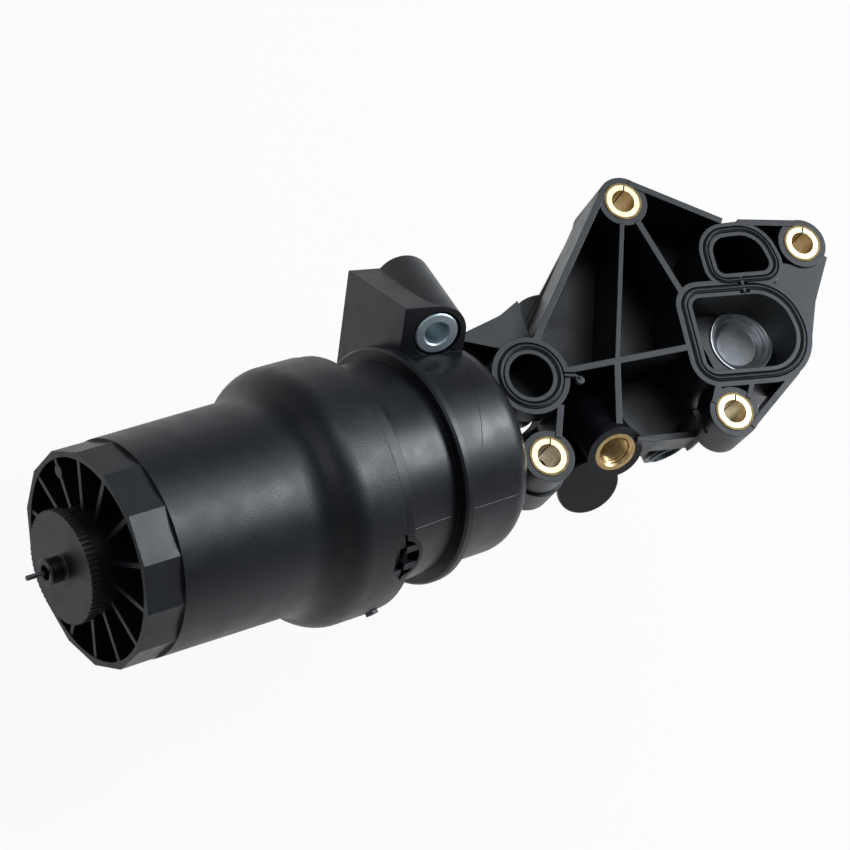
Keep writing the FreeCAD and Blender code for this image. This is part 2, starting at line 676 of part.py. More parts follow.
def element_core():
    """The perforated support tube inside the pleats."""
    core = tube(CORE_RADIUS, CORE_RADIUS - CORE_WALL, MEDIA_START, MEDIA_END)
    pitch = (MEDIA_END - MEDIA_START) / CORE_HOLE_ROWS
    for row in range(CORE_HOLE_ROWS):
        start = V(-2 * CORE_RADIUS, 0, MEDIA_START + pitch * (row + 0.5))
        for column in range(CORE_HOLES_AROUND // 2):
            hole = rod(CORE_HOLE_RADIUS, start, V(1, 0, 0), 4 * CORE_RADIUS)
            hole.rotate(V(0, 0, 0), V(0, 0, 1), 360 * (column + row % 2 / 2) / CORE_HOLES_AROUND)
            core = core.cut(hole)
    return placed_on_bowl(core)


def standpipe():
    """The centre pipe that carries clean oil from the element into the body."""
    pipe = tube(PIPE_RADIUS, PIPE_BORE, PIPE_START, SPRING_SHELF)
    lower = tube(PIPE_RADIUS, PIPE_BORE - SHELF_WIDTH, SPRING_SHELF, PIPE_END)
    pipe = pipe.fuse(lower)
    # Windows let oil in behind the bypass valve's travel
    for i in range(PIPE_WINDOWS):
        window = Part.makeBox(3 * PIPE_RADIUS, WINDOW_WIDTH, WINDOW_LENGTH,
                              V(0, -WINDOW_WIDTH / 2, SPRING_SHELF + 2 * BYPASS_SEAT_LENGTH))
        window.rotate(V(0, 0, 0), V(0, 0, 1), 360 * (i + 0.5) / PIPE_WINDOWS)
        pipe = pipe.cut(window)
    return placed_on_bowl(pipe)


def bypass_seat():
    """The seat ring pressed into the standpipe's tip."""
    return placed_on_bowl(tube(PIPE_BORE, BYPASS_SEAT_BORE, PIPE_START, PIPE_START + BYPASS_SEAT_LENGTH))


def bypass_poppet():
    """The bypass valve's disc with its guide stem."""
    disc = tube(POPPET_RADIUS, 0, POPPET_FACE, POPPET_FACE + POPPET_THICKNESS)
    stem = tube(POPPET_STEM_RADIUS, 0, POPPET_FACE, POPPET_FACE + POPPET_STEM_LENGTH)
    return placed_on_bowl(disc.fuse(stem))


def bypass_spring():
    """The spring that holds the bypass valve shut."""
    low = POPPET_FACE + POPPET_THICKNESS + RUN_FIT
    high = SPRING_SHELF - RUN_FIT
    return placed_on_bowl(coil(BYPASS_SPRING_RADIUS, BYPASS_SPRING_WIRE, low, high, BYPASS_SPRING_TURNS))


def cap_o_ring():
    """The large rubber ring between the body's neck and the cap's bell."""
    radius = BELL_BORE - RUN_FIT - O_RING_SECTION / 2
    return placed_on_bowl(torus(radius, O_RING_SECTION, O_RING_HEIGHT))


def bowl_body():
    """The turned form of the body: neck, lip, barrel, collar, rear barrel and dome."""
    bend = END_FILLET * math.sqrt(0.5)
    end_radius = BARREL_RADIUS - END_FILLET
    outer = turned((0, LIP_START - NECK_LENGTH),
                   [(NECK_RADIUS, LIP_START - NECK_LENGTH), (NECK_RADIUS, LIP_START),
                    (LIP_RADIUS, LIP_START), (LIP_RADIUS, LIP_END), (BARREL_RADIUS + BARREL_DRAFT, LIP_END),
                    (BARREL_RADIUS, BARREL_END), (COLLAR_RADIUS - COLLAR_CHAMFER, BARREL_END),
                    (COLLAR_RADIUS, BARREL_END + COLLAR_CHAMFER),
                    (COLLAR_RADIUS, COLLAR_END), (BARREL_RADIUS, COLLAR_END),
                    (BARREL_RADIUS, REAR_END),
                    ((end_radius + bend, REAR_END + bend), (end_radius, DOME_EDGE)),
                    (end_radius / 2, DOME_END), (0, DOME_END)])
    ring_groove = tube(NECK_RADIUS, BELL_BORE - RUN_FIT - O_RING_SECTION,
                       O_RING_HEIGHT - O_RING_SECTION * GROOVE_LENGTHS / 2,
                       O_RING_HEIGHT + O_RING_SECTION * GROOVE_LENGTHS / 2)
    # The latch pocket: a raised U around a recess with two small posts
    pocket = latch_block(LATCH_WIDTH, LIP_END + LATCH_REACH, LATCH_PROUD)
    well = latch_block(LATCH_WIDTH - 2 * LATCH_RIM, LIP_END + LATCH_REACH - LATCH_RIM, LATCH_DEPTH)
    return placed_on_bowl(outer.cut(ring_groove).fuse(pocket).cut(well)).fuse(latch_posts())


def latch_block(width, end, proud):
    """A block on the lip at the latch's angle, round at its far end."""
    radius = width / 2
    low = LIP_START
    inside = LIP_RADIUS - LATCH_DEPTH - 1
    block = Part.makeBox(2 * LATCH_DEPTH, width, max(end - radius - low, RUN_FIT), V(inside, -radius, low))
    nose = rod(radius, V(inside, 0, end - radius), V(1, 0, 0), 2 * LATCH_DEPTH)
    keep = tube(LIP_RADIUS + proud, LIP_RADIUS - LATCH_DEPTH, low, end)
    block = block.fuse(nose).common(keep)
    block.rotate(V(0, 0, 0), V(0, 0, 1), 180 - LATCH_ANGLE)
    return block


def latch_posts():
    """Two small ratchet posts on the floor of the latch pocket."""
    posts = []
    for side in (-1, 1):
        post = Part.makeBox(LATCH_DEPTH + 1, LATCH_POST_WIDTH, LIP_LENGTH + LATCH_REACH - LATCH_RIM,
                            V(LIP_RADIUS - LATCH_DEPTH - RUN_FIT,
                              side * LATCH_POST_ASIDE - LATCH_POST_WIDTH / 2, LIP_START))
        post.rotate(V(0, 0, 0), V(0, 0, 1), 180 - LATCH_ANGLE)
        posts.append(post)
    return placed_on_bowl(posts[0].fuse(posts[1]))


def bowl_cavity():
    """The hollow of the body, open towards the cap."""
    inside = END_FILLET - BODY_WALL
    bend = inside * math.sqrt(0.5)
    end_radius = BODY_BORE - inside
    neck_bore = NECK_RADIUS - NECK_WALL
    start = LIP_START - NECK_LENGTH
    return placed_on_bowl(turned((0, start), [(neck_bore, start), (BODY_BORE, LIP_END + MOUTH_LEAD),
                                              (BODY_BORE, REAR_END),
                                              ((end_radius + bend, REAR_END + bend),
                                               (end_radius, REAR_END + inside)),
                                              (0, REAR_END + inside)]))


def around(centre, radius, turn):
    """A point on a circle about a bolt centre, by its angle in degrees."""
    angle = math.radians(turn)
    return (centre[0] + radius * math.cos(angle), centre[1] + radius * math.sin(angle))


def beside(port, side, share, out):
    """A point beside one side of a port: its share of the way along, and how far outside it."""
    start = V(*port[side], 0)
    along = V(*port[(side + 1) % len(port)], 0) - start
    point = start + along * share + unit(V(-along.y, along.x, 0)) * out
    return (point.x, point.y)


def between(start, end, share):
    """A point on the line between two points of the flange."""
    return (start[0] + (end[0] - start[0]) * share, start[1] + (end[1] - start[1]) * share)


def floor_outline():
    """The floor's edge, which follows the walls from boss to boss."""
    inset = BOSS_RADIUS * FLOOR_INSET
    low_right = [around(BOLT_LOW_RIGHT, BOSS_RADIUS * share, turn) for share, turn in FLOOR_AT_LOW_RIGHT]
    return [(INLET_END.x, INLET_END.y + INLET_RADIUS / 2),
            around(ROUND_PORT, ROUND_PORT_RADIUS + 1, LEFT_WALL_AT_PORT + FLOOR_PAST_LEFT_WALL),
            around(BOLT_TOP_LEFT, inset, LEFT_WALL_AT_BOSS), around(BOLT_TOP_LEFT, inset, TOP_WALL_AT_BOSS),
            beside(SMALL_PORT, 0, TOP_WALL_SHARE, PORT_GROWTH + WALL),
            around(BOLT_TOP_RIGHT, inset, RIGHT_WALL_AT_BOSS),
            around(BOLT_TOP_RIGHT, inset, CORNER_AT_BOSS[1]),
            beside(LARGE_PORT, 1, HEM_SHARE, WALL),
            beside(LARGE_PORT, 2, FOOT_WALL_SHARE, WALL)] + low_right + [
                (GALLERY_X - GALLERY_BOSS_RADIUS, GALLERY_END + WALL),
                (SENSOR_FACE.x + WALL, SENSOR_FACE.y + FLOOR_OVER_SENSOR),
                around(ROUND_PORT, 2 * ROUND_PORT_RADIUS, FLOOR_UNDER_PORT),
                around(BOLT_LOW_LEFT, BOSS_RADIUS, FLOOR_AT_LOW_LEFT),
                (INLET_END.x, BOLT_LOW_LEFT[1] + BOSS_RADIUS)]


def flange_solids():
    """Everything that stands on the flange floor: bosses, walls, ribs and port rims."""
    low = FLOOR_LEVEL - FLOOR_THICKNESS / 2
    tangent = BOSS_RADIUS - WALL / 2 - BOSS_SET_BACK
    inside = BOSS_RADIUS - BOSS_SET_BACK * 2
    low_top = LOW_WALL_RISE - LOW_RIGHT_DEPTH
    low_foot = FOOT_WALL_RISE - LOW_RIGHT_DEPTH
    solids = [plate(polygon(floor_outline()), FLOOR_LEVEL, -FLANGE_DEPTH)]
    for (x, y), depth in BOSSES:
        solids.append(Part.makeCylinder(BOSS_RADIUS, depth - BOSS_SET_BACK, V(x, y, -depth)))
    solids.append(plate(grown(LARGE_WIRE, PORT_GROWTH), 0, -FLANGE_DEPTH))
    solids.append(plate(grown(SMALL_WIRE, PORT_GROWTH - SMALL_PORT_LAND_CUT), 0, -FLANGE_DEPTH))
    solids.append(Part.makeCylinder(ROUND_PORT_RADIUS, ROUND_COLLAR_DEPTH, V(0, 0, -ROUND_COLLAR_DEPTH)))
    solids.append(Part.makeCylinder(ROUND_PORT_BORE + DUCT_WALL, FLANGE_DEPTH, V(0, 0, -FLANGE_DEPTH)))
    # Outer walls
    port_edge = ROUND_PORT_RADIUS - WALL / 2
    sensor = (SENSOR_FACE.x, SENSOR_FACE.y)
    foot = beside(LARGE_PORT, 2, FOOT_WALL_SHARE, WALL)
    solids.append(rib(around(BOLT_TOP_LEFT, tangent, LEFT_WALL_AT_BOSS),
                      around(ROUND_PORT, port_edge, LEFT_WALL_AT_PORT), WALL, 0, low))
    solids.append(rib(around(BOLT_TOP_LEFT, tangent, TOP_WALL_AT_BOSS),
                      beside(SMALL_PORT, 0, TOP_WALL_SHARE, PORT_GROWTH), WALL, 0, low))
    solids.append(rib(beside(SMALL_PORT, 0, RIGHT_WALL_SHARE, PORT_GROWTH - WALL / 2),
                      around(BOLT_TOP_RIGHT, tangent, RIGHT_WALL_AT_BOSS), WALL, 0, low))
    solids.append(rib(foot, around(BOLT_LOW_RIGHT, tangent, FOOT_WALL_AT_BOSS), WALL, 0, low_foot))
    solids.append(rib(around(BOLT_LOW_RIGHT, tangent - 1, LOW_WALL_AT_BOSS),
                      around(sensor, INSERT_RADIUS, LOW_WALL_AT_SENSOR), WALL, low_top, low))
    solids.append(rib(around(BOLT_LOW_RIGHT, BOSS_RADIUS + WALL, END_WALL_AT_BOSS[0]),
                      around(BOLT_LOW_RIGHT, inside, END_WALL_AT_BOSS[1]), WALL, -LOW_RIGHT_DEPTH / 2, low))
    # Ribs
    cross_start = around(ROUND_PORT, port_edge, CROSS_RIB_AT_PORT)
    cross_end = beside(LARGE_PORT, 3, CROSS_RIB_SHARE, PORT_GROWTH - WALL / 2)
    meeting = between(cross_start, cross_end, RIB_MEETING)
    solids.append(rib(cross_start, cross_end, WALL, 0, low))
    solids.append(rib(around(BOLT_TOP_LEFT, inside, LONG_RIB_AT_BOSS), meeting, THIN_RIB, 0, low))
    solids.append(rib(meeting, around(sensor, INSERT_RADIUS, LONG_RIB_AT_SENSOR), WALL, 0, low))
    solids.append(rib(around(BOLT_TOP_LEFT, inside, SHORT_RIB_AT_BOSS),
                      beside(LARGE_PORT, 3, SHORT_RIB_SHARE, WALL), WALL, 0, low))
    solids.append(rib(around(ROUND_PORT, ROUND_PORT_RADIUS, LINK_RIB_AT_PORT),
                      around(BOLT_LOW_LEFT, tangent, LINK_RIB_AT_BOSS), WALL, 0, low))
    for share, angle, width in zip(STAY_SHARES, STAY_AT_BOSS, (WALL, THIN_RIB)):
        solids.append(rib(beside(LARGE_PORT, 2, share, PORT_GROWTH - WALL / 2),
                          around(BOLT_LOW_RIGHT, tangent, angle), width, 0, low_foot))
    solids.append(rib(around(sensor, INSERT_RADIUS, STAY_AT_SENSOR[0]),
                      around(sensor, 2 * INSERT_RADIUS, STAY_AT_SENSOR[1]), THIN_RIB, -STAY_SET_BACK,
                      low_foot))
    # Corner plate between the right boss and the two large rims, and the skirt under its edge
    back = -CORNER_SET_BACK
    tip = around(BOLT_TOP_RIGHT, BOSS_RADIUS + THIN_RIB, CORNER_AT_BOSS[2])
    turn = beside(LARGE_PORT, 1, CORNER_SHARES[1], CUP_RADIUS)
    hem = beside(LARGE_PORT, 1, HEM_SHARE, WALL)
    corner = [beside(LARGE_PORT, 0, CORNER_SHARES[0], CUP_RADIUS),
              around(BOLT_TOP_RIGHT, inside, CORNER_AT_BOSS[0]),
              around(BOLT_TOP_RIGHT, BOSS_RADIUS, CORNER_AT_BOSS[1]), tip, turn, hem,
              beside(LARGE_PORT, 1, CORNER_SHARES[2], -LARGE_PORT_FILLETS[3])]
    solids.append(plate(polygon(corner), back, back - CORNER_THICKNESS))
    skirt = [around(BOLT_TOP_RIGHT, BOSS_RADIUS + BOSS_SET_BACK, SKIRT_AT_BOSS),
             beside(LARGE_PORT, 1, SKIRT_SHARE, CUP_RADIUS), hem, foot]
    for a, b in zip(skirt, skirt[1:]):
        solids.append(rib(a, b, WALL, back, low))
    return solids + [lug_web(), low_boss_foot()]


def lug_web():
    """The hollow web between the lug, the round port and the check valve's chamber."""
    meet = around(ROUND_PORT, WEB_REACH, WEB_MEETS_LUG)
    near = around(ROUND_PORT, ROUND_PORT_RADIUS + WALL / 2, WEB_AT_PORT)
    far = around(CHECK_CHAMBER, WEB_REACH - WALL, WEB_AT_CHAMBER)
    end = around(CHECK_CHAMBER, CHECK_CHAMBER_RADIUS + WALL, WEB_ON_CHAMBER)
    lug = (LUG_FACE.x + 2 * WALL, LUG_FACE.y)
    top = [(lug[0], lug[1] + 2 * WALL), (meet[0], meet[1] + 1), (far[0], far[1] + WEB_EDGE),
           (end[0], end[1] + WEB_EDGE), (ROUND_PORT_RADIUS - 2 * WALL, ROUND_PORT_RADIUS - WALL),
           (near[0] - WEB_EDGE, near[1]), (meet[0] - 1, meet[1] - 1), (lug[0], lug[1] + WALL)]
    level = -ROUND_COLLAR_DEPTH
    web = plate(polygon(top), level, level - FLOOR_THICKNESS)
    for start, stop in ((near, meet), (far, meet), (far, end)):
        web = web.fuse(rib(start, stop, WALL, level, -FLANGE_DEPTH))
    return web


def low_boss_foot():
    """The curved wall under the low left boss, with its floor."""
    outer = BOSS_RADIUS + 1
    foot = tube(outer, 0, -FLANGE_DEPTH, -FLANGE_DEPTH + FLOOR_THICKNESS)
    foot = foot.fuse(tube(outer, outer - THIN_RIB, -FLANGE_DEPTH, FOOT_WALL_RISE - LOW_LEFT_DEPTH))
    foot.translate(V(*BOLT_LOW_LEFT, 0))
    half = Part.makeBox(4 * outer, 2 * outer, FLANGE_DEPTH,
                        V(BOLT_LOW_LEFT[0] - 2 * outer, BOLT_LOW_LEFT[1] - 2 * outer + FOOT_OVER_BOLT,
                          -FLANGE_DEPTH))
    return foot.common(half)


def duct_solids():
    """The passages moulded behind the flange, and the chambers of the valves."""
    drop = -DUCT_DROP
    main = V(*MAIN_CHAMBER, drop)
    check = V(*CHECK_CHAMBER, -SHORT_DUCT_DROP)
    solids = []
    for place, radius, depth in ((MAIN_CHAMBER, MAIN_CHAMBER_RADIUS, MAIN_CHAMBER_DROP),
                                 (CHECK_CHAMBER, CHECK_CHAMBER_RADIUS, CHECK_CHAMBER_DROP)):
        low = tube(radius, 0, -depth, -FLANGE_DEPTH + 1)
        low = low.makeFillet(CHAMBER_ROUNDING, [edge for edge in low.Edges
                                                if abs(edge.BoundBox.ZMax + depth) < 0.01])
        low.translate(V(*place, 0))
        solids.append(low)
    solids.append(rod(LONG_DUCT_RADIUS, main, LONG_DUCT_END - main, (LONG_DUCT_END - main).Length))
    solids.append(Part.makeSphere(LONG_DUCT_RADIUS, LONG_DUCT_END))
    solids.append(rod(SHORT_DUCT_RADIUS, check, SHORT_DUCT_END - check, (SHORT_DUCT_END - check).Length))
    solids.append(Part.makeSphere(SHORT_DUCT_RADIUS, SHORT_DUCT_END))
    # The ports' walls run on down to their ducts
    inside = -FLANGE_DEPTH + FLOOR_THICKNESS / 2
    solids.append(plate(grown(SMALL_WIRE, DUCT_WALL), inside, -SHORT_DUCT_DROP - DUCT_WALL))
    solids.append(plate(grown(polygon(LARGE_PORT_SLOT), DUCT_WALL), inside, drop))
    link = LINK_END - LINK_START
    solids.append(rod(LINK_RADIUS, LINK_START, link, link.Length))
    solids.append(rod(GALLERY_BOSS_RADIUS, V(GALLERY_X, 0, drop), V(0, -1, 0), -GALLERY_END))
    solids.append(rod(OUTLET_RADIUS, bowl_point(REAR_END + 2, 0, 0), AXIS, OUTLET_LENGTH))
    solids.append(rod(INLET_RADIUS, INLET_START, INLET_END - INLET_START, (INLET_END - INLET_START).Length))
    solids.append(rod(RELIEF_BOSS_RADIUS, COVER_SEAT - SIDE * RELIEF_BOSS_LENGTH, SIDE, RELIEF_BOSS_LENGTH))
    solids.append(rod(SENSOR_BOSS_RADIUS, SENSOR_FACE - SIDE * SENSOR_BOSS_LENGTH, SIDE,
                      SENSOR_BOSS_LENGTH - 1))
    solids.append(Part.makeCone(SENSOR_BOSS_RADIUS, SENSOR_COLLAR_RADIUS, SENSOR_COLLAR_LENGTH,
                                SENSOR_FACE - SIDE * SENSOR_COLLAR_LENGTH, SIDE))
    return solids


def passages():
    """The hollows of the ducts, chambers and side bores."""
    drop = -DUCT_DROP
    main = V(*MAIN_CHAMBER, drop)
    check = V(*CHECK_CHAMBER, -SHORT_DUCT_DROP)
    cuts = []
    main_bore = MAIN_CHAMBER_RADIUS - DUCT_WALL
    check_bore = CHECK_CHAMBER_RADIUS - DUCT_WALL
    cuts.append(rod(main_bore, V(*MAIN_CHAMBER, -MAIN_CHAMBER_DROP + DUCT_WALL), V(0, 0, 1),
                    MAIN_CHAMBER_DROP - DUCT_WALL - FLANGE_DEPTH))
    cuts.append(rod(check_bore, V(*CHECK_CHAMBER, -CHECK_CHAMBER_DROP + DUCT_WALL), V(0, 0, 1),
                    CHECK_CHAMBER_DROP - DUCT_WALL - FLANGE_DEPTH))
    long_bore = LONG_DUCT_RADIUS - DUCT_WALL
    short_bore = SHORT_DUCT_RADIUS - DUCT_WALL
    cuts.append(rod(long_bore, main, LONG_DUCT_END - main, (LONG_DUCT_END - main).Length))
    cuts.append(Part.makeSphere(long_bore, LONG_DUCT_END))
    cuts.append(rod(short_bore, check, SHORT_DUCT_END - check, (SHORT_DUCT_END - check).Length))
    cuts.append(Part.makeSphere(short_bore, SHORT_DUCT_END))
    link = LINK_END - LINK_START
    cuts.append(rod(LINK_RADIUS - DUCT_WALL, LINK_START, link, link.Length))
    inlet = INLET_END - INLET_START
    cuts.append(rod(INLET_RADIUS - DUCT_WALL, INLET_START, inlet, inlet.Length))
    # The small port opens straight down into its duct, the large one through a slot
    cuts.append(plate(SMALL_WIRE, 1, -SHORT_DUCT_DROP))
    cuts.append(plate(LARGE_WIRE, 1, -LARGE_PORT_DEPTH))
    cuts.append(plate(polygon(LARGE_PORT_SLOT), 1 - LARGE_PORT_DEPTH, -DUCT_DROP))
    cuts.append(rod(STEEL_PLUG_RADIUS, V(GALLERY_X, 0, drop), V(0, -1, 0), -GALLERY_END))
    cuts.append(rod(RELIEF_BORE, COVER_SEAT - SIDE * (RELIEF_BOSS_LENGTH + 2), SIDE,
                    RELIEF_BOSS_LENGTH + 2))
    cuts.append(rod(INSERT_RADIUS, SENSOR_FACE - SIDE * INSERT_LENGTH, SIDE, INSERT_LENGTH))
    oil_way = SENSOR_BOSS_LENGTH + 2 * DUCT_WALL
    cuts.append(rod(OIL_WAY_RADIUS, SENSOR_FACE - SIDE * oil_way, SIDE, SENSOR_BOSS_LENGTH))
    cuts.append(rod(CUP_RADIUS, V(*CUP_CENTRE, -LARGE_PORT_DEPTH - CUP_STEPS * CUP_STEP_DEPTH), V(0, 0, 1),
                    CUP_STEPS * CUP_STEP_DEPTH + 1))
    return cuts


def lug_solid():
    """The lug beside the bowl: a boss along the side direction, on a tapered block."""
    back = LUG_FACE - SIDE * LUG_LENGTH
    left = unit(LUG_LEFT - SIDE * LUG_LEFT.dot(SIDE))
    inward = SIDE.cross(left)
    underside = [(along * LUG_LENGTH, down * LUG_LENGTH) for along, down in LUG_UNDERSIDE]
    profile = [(0, -LUG_TOP_FRONT), (0, LUG_BOTTOM_FRONT)] + underside + [(LUG_LENGTH, -LUG_TOP_BACK)]
    corners = [LUG_FACE - SIDE * off + inward * down for off, down in profile]
    width = LUG_BACK_REACH + 4
    block = Part.Face(Part.makePolygon(corners + [corners[0]])).extrude(left * width)
    # The cap-side face slants, so the block is narrower at the front
    far = 3 * LUG_LENGTH
    front_edge = LUG_FACE + left * LUG_FRONT_REACH
    back_edge = back + left * LUG_BACK_REACH
    run = unit(back_edge - front_edge)
    start = front_edge - run * far - inward * far
    cutter = Part.Face(Part.makePolygon([start, start + run * 3 * far,
                                         start + run * 3 * far + inward * 3 * far,
                                         start + inward * 3 * far, start])).extrude(left * far)
    block = block.cut(cutter)
    boss = rod(LUG_BOSS_RADIUS, back, SIDE, LUG_LENGTH)
    # Under the boss the block keeps the boss's full width, down to the bowl
    root = [LUG_FACE - SIDE * off + inward * down - left * LUG_BOSS_RADIUS
            for off, down in [(0, 0)] + profile[1:4] + [(LUG_LENGTH, 0)]]
    foot = Part.Face(Part.makePolygon(root + [root[0]])).extrude(left * (LUG_BOSS_RADIUS + 1))
    return block.fuse(boss).fuse(foot)


def seal_groove(wire, tight):
    """The groove that runs round a port."""
    outer = plate(grown(wire, PORT_LIP + GROOVE_WIDTH - tight), 1, -GROOVE_DEPTH)
    return outer.cut(plate(grown(wire, PORT_LIP), 1, -GROOVE_DEPTH))


def housing_body():
    """The whole black moulding of the body."""
    body = bowl_body().multiFuse(flange_solids() + duct_solids() + [lug_solid()])
    body = body.cut(bowl_cavity())
    for cut in passages():
        body = body.cut(cut)
    # Round port, its groove, and the notches for the seals' tails
    body = body.cut(rod(ROUND_PORT_BORE, V(0, 0, 1), V(0, 0, -1), ROUND_PORT_DEPTH + 1))
    body = body.cut(ring_groove())
    body = body.cut(seal_groove(LARGE_WIRE, 0)).cut(seal_groove(SMALL_WIRE, SMALL_PORT_PINCH))
    body = body.cut(plate(polygon(BRIDGE_NOTCH), 1, -GROOVE_DEPTH / 2))
    body = body.cut(rib(TAIL_START, TAIL_END, TAIL_WIDTH + TAIL_ROOM, 1, -GROOVE_DEPTH / 2))
    # Bores for the sleeves, with room for the bolts' heads behind the shallow bosses
    for (x, y), depth in BOSSES:
        body = body.cut(Part.makeCylinder(SLEEVE_RADIUS, depth + 1, V(x, y, -depth)))
        body = body.cut(Part.makeCylinder(SLEEVE_RADIUS + 1, FLANGE_DEPTH, V(x, y, -depth - FLANGE_DEPTH)))
    body = body.cut(rod(LUG_SLEEVE_RADIUS, LUG_FACE + SIDE, SIDE * -1, LUG_LENGTH + 2))
    body = body.cut(rod(LUG_SLEEVE_RADIUS + LUG_RECESS, LUG_FACE - SIDE * LUG_RECESS_DEPTH, SIDE,
                        LUG_RECESS_DEPTH + 1))
    # The standpipe's seat in the dome, and its way into the main chamber
    body = body.cut(placed_on_bowl(tube(PIPE_RADIUS, 0, REAR_END - 2, PIPE_END)))
    return body.cut(placed_on_bowl(tube(PIPE_BORE, 0, PIPE_END - 1, RIM_TO_PORT + MAIN_CHAMBER[0])))


def ring_groove():
    """The round port's seal groove."""
    inner = ROUND_PORT_BORE + PORT_LIP
    groove = tube(inner + GROOVE_WIDTH, inner, -GROOVE_DEPTH, 1)
    return groove


def round_port_seal():
    """The round port's rubber ring with its handling tail."""
    inner = ROUND_PORT_BORE + PORT_LIP + SEAL_SIDE_GAP
    outer = inner + GROOVE_WIDTH - 2 * SEAL_SIDE_GAP
    middle = (inner + outer) / 2
    ring = tube(outer, inner, -GROOVE_DEPTH, 0)
    crest = tube(middle + SEAL_CREST / 2, middle - SEAL_CREST / 2, -SEAL_CREST_ROOT, SEAL_PROUD)
    low = -GROOVE_DEPTH / 2
    tail = rib(TAIL_START, TAIL_END, TAIL_WIDTH, 0, low)
    neck = rib(TAIL_END, TAIL_BULB, TAIL_WIDTH, 0, low)
    bulb = Part.makeCylinder(BULB_RADIUS, GROOVE_DEPTH / 2, V(*TAIL_BULB, low))
    bend = Part.makeCylinder(TAIL_WIDTH / 2, GROOVE_DEPTH / 2, V(*TAIL_END, low))
    return ring.fuse(crest).fuse(tail).fuse(bend).fuse(neck).fuse(bulb)


def seal_loop(wire, tight):
    """A rubber bead round a port: a body in the groove and a crest that stands proud."""
    inner = PORT_LIP + SEAL_SIDE_GAP
    outer = PORT_LIP + GROOVE_WIDTH - tight - SEAL_SIDE_GAP
    middle = (inner + outer) / 2
    base = plate(grown(wire, outer), 0, -GROOVE_DEPTH).cut(plate(grown(wire, inner), 0, -GROOVE_DEPTH))
    crest = plate(grown(wire, middle + SEAL_CREST / 2), SEAL_PROUD, -SEAL_CREST_ROOT)
    return base.fuse(crest.cut(plate(grown(wire, middle - SEAL_CREST / 2), SEAL_PROUD, -SEAL_CREST_ROOT)))


def twin_port_seal():
    """One rubber moulding for both large openings, its loops joined by a small bridge."""
    low = -GROOVE_DEPTH / 2
    bridge = rib(BRIDGE_START, BRIDGE_END, TAIL_WIDTH, 0, low)
    return seal_loop(LARGE_WIRE, 0).fuse(seal_loop(SMALL_WIRE, SMALL_PORT_PINCH)).fuse(bridge)


def sleeve(radius, bore, length, slit):
    """A rolled metal bush about Z, its mouth at height zero."""
    bush = tube(radius, bore, -length, 0)
    if slit > 0:
        bush = bush.cut(Part.makeBox(2 * radius, slit, length, V(0, -slit / 2, -length)))
    return bush


def flange_sleeve(place, depth):
    """A rolled brass bush in a flange boss, slit along one side."""
    bush = sleeve(SLEEVE_RADIUS, SLEEVE_BORE, depth, SLEEVE_SLIT)
    bush.rotate(V(0, 0, 0), V(0, 0, 1), SLIT_ANGLE)
    bush.translate(V(*place, 0))
    return bush


def lug_sleeve():
    """The zinc-plated steel bush in the lug."""
    bush = tube(LUG_SLEEVE_RADIUS, LUG_SLEEVE_BORE, -LUG_LENGTH, 0)
    bush = bush.makeChamfer(EDGE_CHAMFER, [edge for edge in bush.Edges if abs(edge.BoundBox.ZMin) < 0.01])
    return placed_along(bush, LUG_FACE, SIDE)


def sensor_insert():
    """The threaded brass bush for the oil pressure switch."""
    bush = tube(INSERT_RADIUS, INSERT_BORE, -INSERT_LENGTH, 0)
    inner = [edge for edge in bush.Edges
             if abs(edge.BoundBox.ZMin) < 0.01 and edge.BoundBox.XMax < INSERT_BORE + 0.01]
    return placed_along(bush.makeChamfer(INSERT_CHAMFER, inner), SENSOR_FACE, SIDE)


def port_cup():
    """The deep-drawn steel cup pressed into the floor of the large port."""
    top = -LARGE_PORT_DEPTH + CUP_PROUD
    depth = CUP_STEPS * CUP_STEP_DEPTH + CUP_PROUD
    outer = []
    inner = []
    for i in range(CUP_STEPS):
        radius = CUP_RADIUS - i * CUP_STEP_IN
        high = top - i * CUP_STEP_DEPTH
        low = max(high - CUP_STEP_DEPTH, top - depth)
        outer += [(radius, high), (radius, low)]
        inner += [(radius - CUP_WALL, high), (radius - CUP_WALL, low + CUP_WALL)]
    base = outer[-1][1]
    steps = outer[1:] + [(0, base), (0, base + CUP_WALL)] + inner[::-1]
    cup = turned(outer[0], steps)
    cup.translate(V(*CUP_CENTRE, 0))
    return cup


def side_cover():
    """The black round cover that closes the relief valve's bore."""
    disc = tube(COVER_RADIUS, 0, -COVER_RIM, 0)
    disc = disc.makeChamfer(EDGE_CHAMFER, [edge for edge in disc.Edges if abs(edge.BoundBox.ZMin) < 0.01])
    spigot = tube(RELIEF_BORE - RUN_FIT, RELIEF_BORE - SPIGOT_WALL, -COVER_RIM - COVER_SPIGOT, -COVER_RIM)
    middle = -COVER_RIM - COVER_RING_DEPTH
    half = COVER_RING_SECTION * GROOVE_LENGTHS / 2
    groove = tube(RELIEF_BORE, RELIEF_BORE - COVER_RING_SECTION - 2 * RUN_FIT, middle - half, middle + half)
    return placed_along(disc.fuse(spigot).cut(groove), COVER_FACE, SIDE)


def side_cover_o_ring():
    """The rubber ring on the side cover's spigot."""
    ring = torus(RELIEF_BORE - RUN_FIT - COVER_RING_SECTION / 2, COVER_RING_SECTION,
                 -COVER_RIM - COVER_RING_DEPTH)
    return placed_along(ring, COVER_FACE, SIDE)


def relief_piston():
    """The relief valve's cup-shaped piston, which slides in the side bore."""
    piston = tube(RELIEF_BORE - RUN_FIT, 0, -RELIEF_PISTON_BACK, -RELIEF_PISTON_FRONT)
    hollow = tube(RELIEF_BORE - RELIEF_PISTON_WALL, 0, RELIEF_PISTON_WALL - RELIEF_PISTON_BACK,
                  -RELIEF_PISTON_FRONT)
    return placed_along(piston.cut(hollow), COVER_FACE, SIDE)


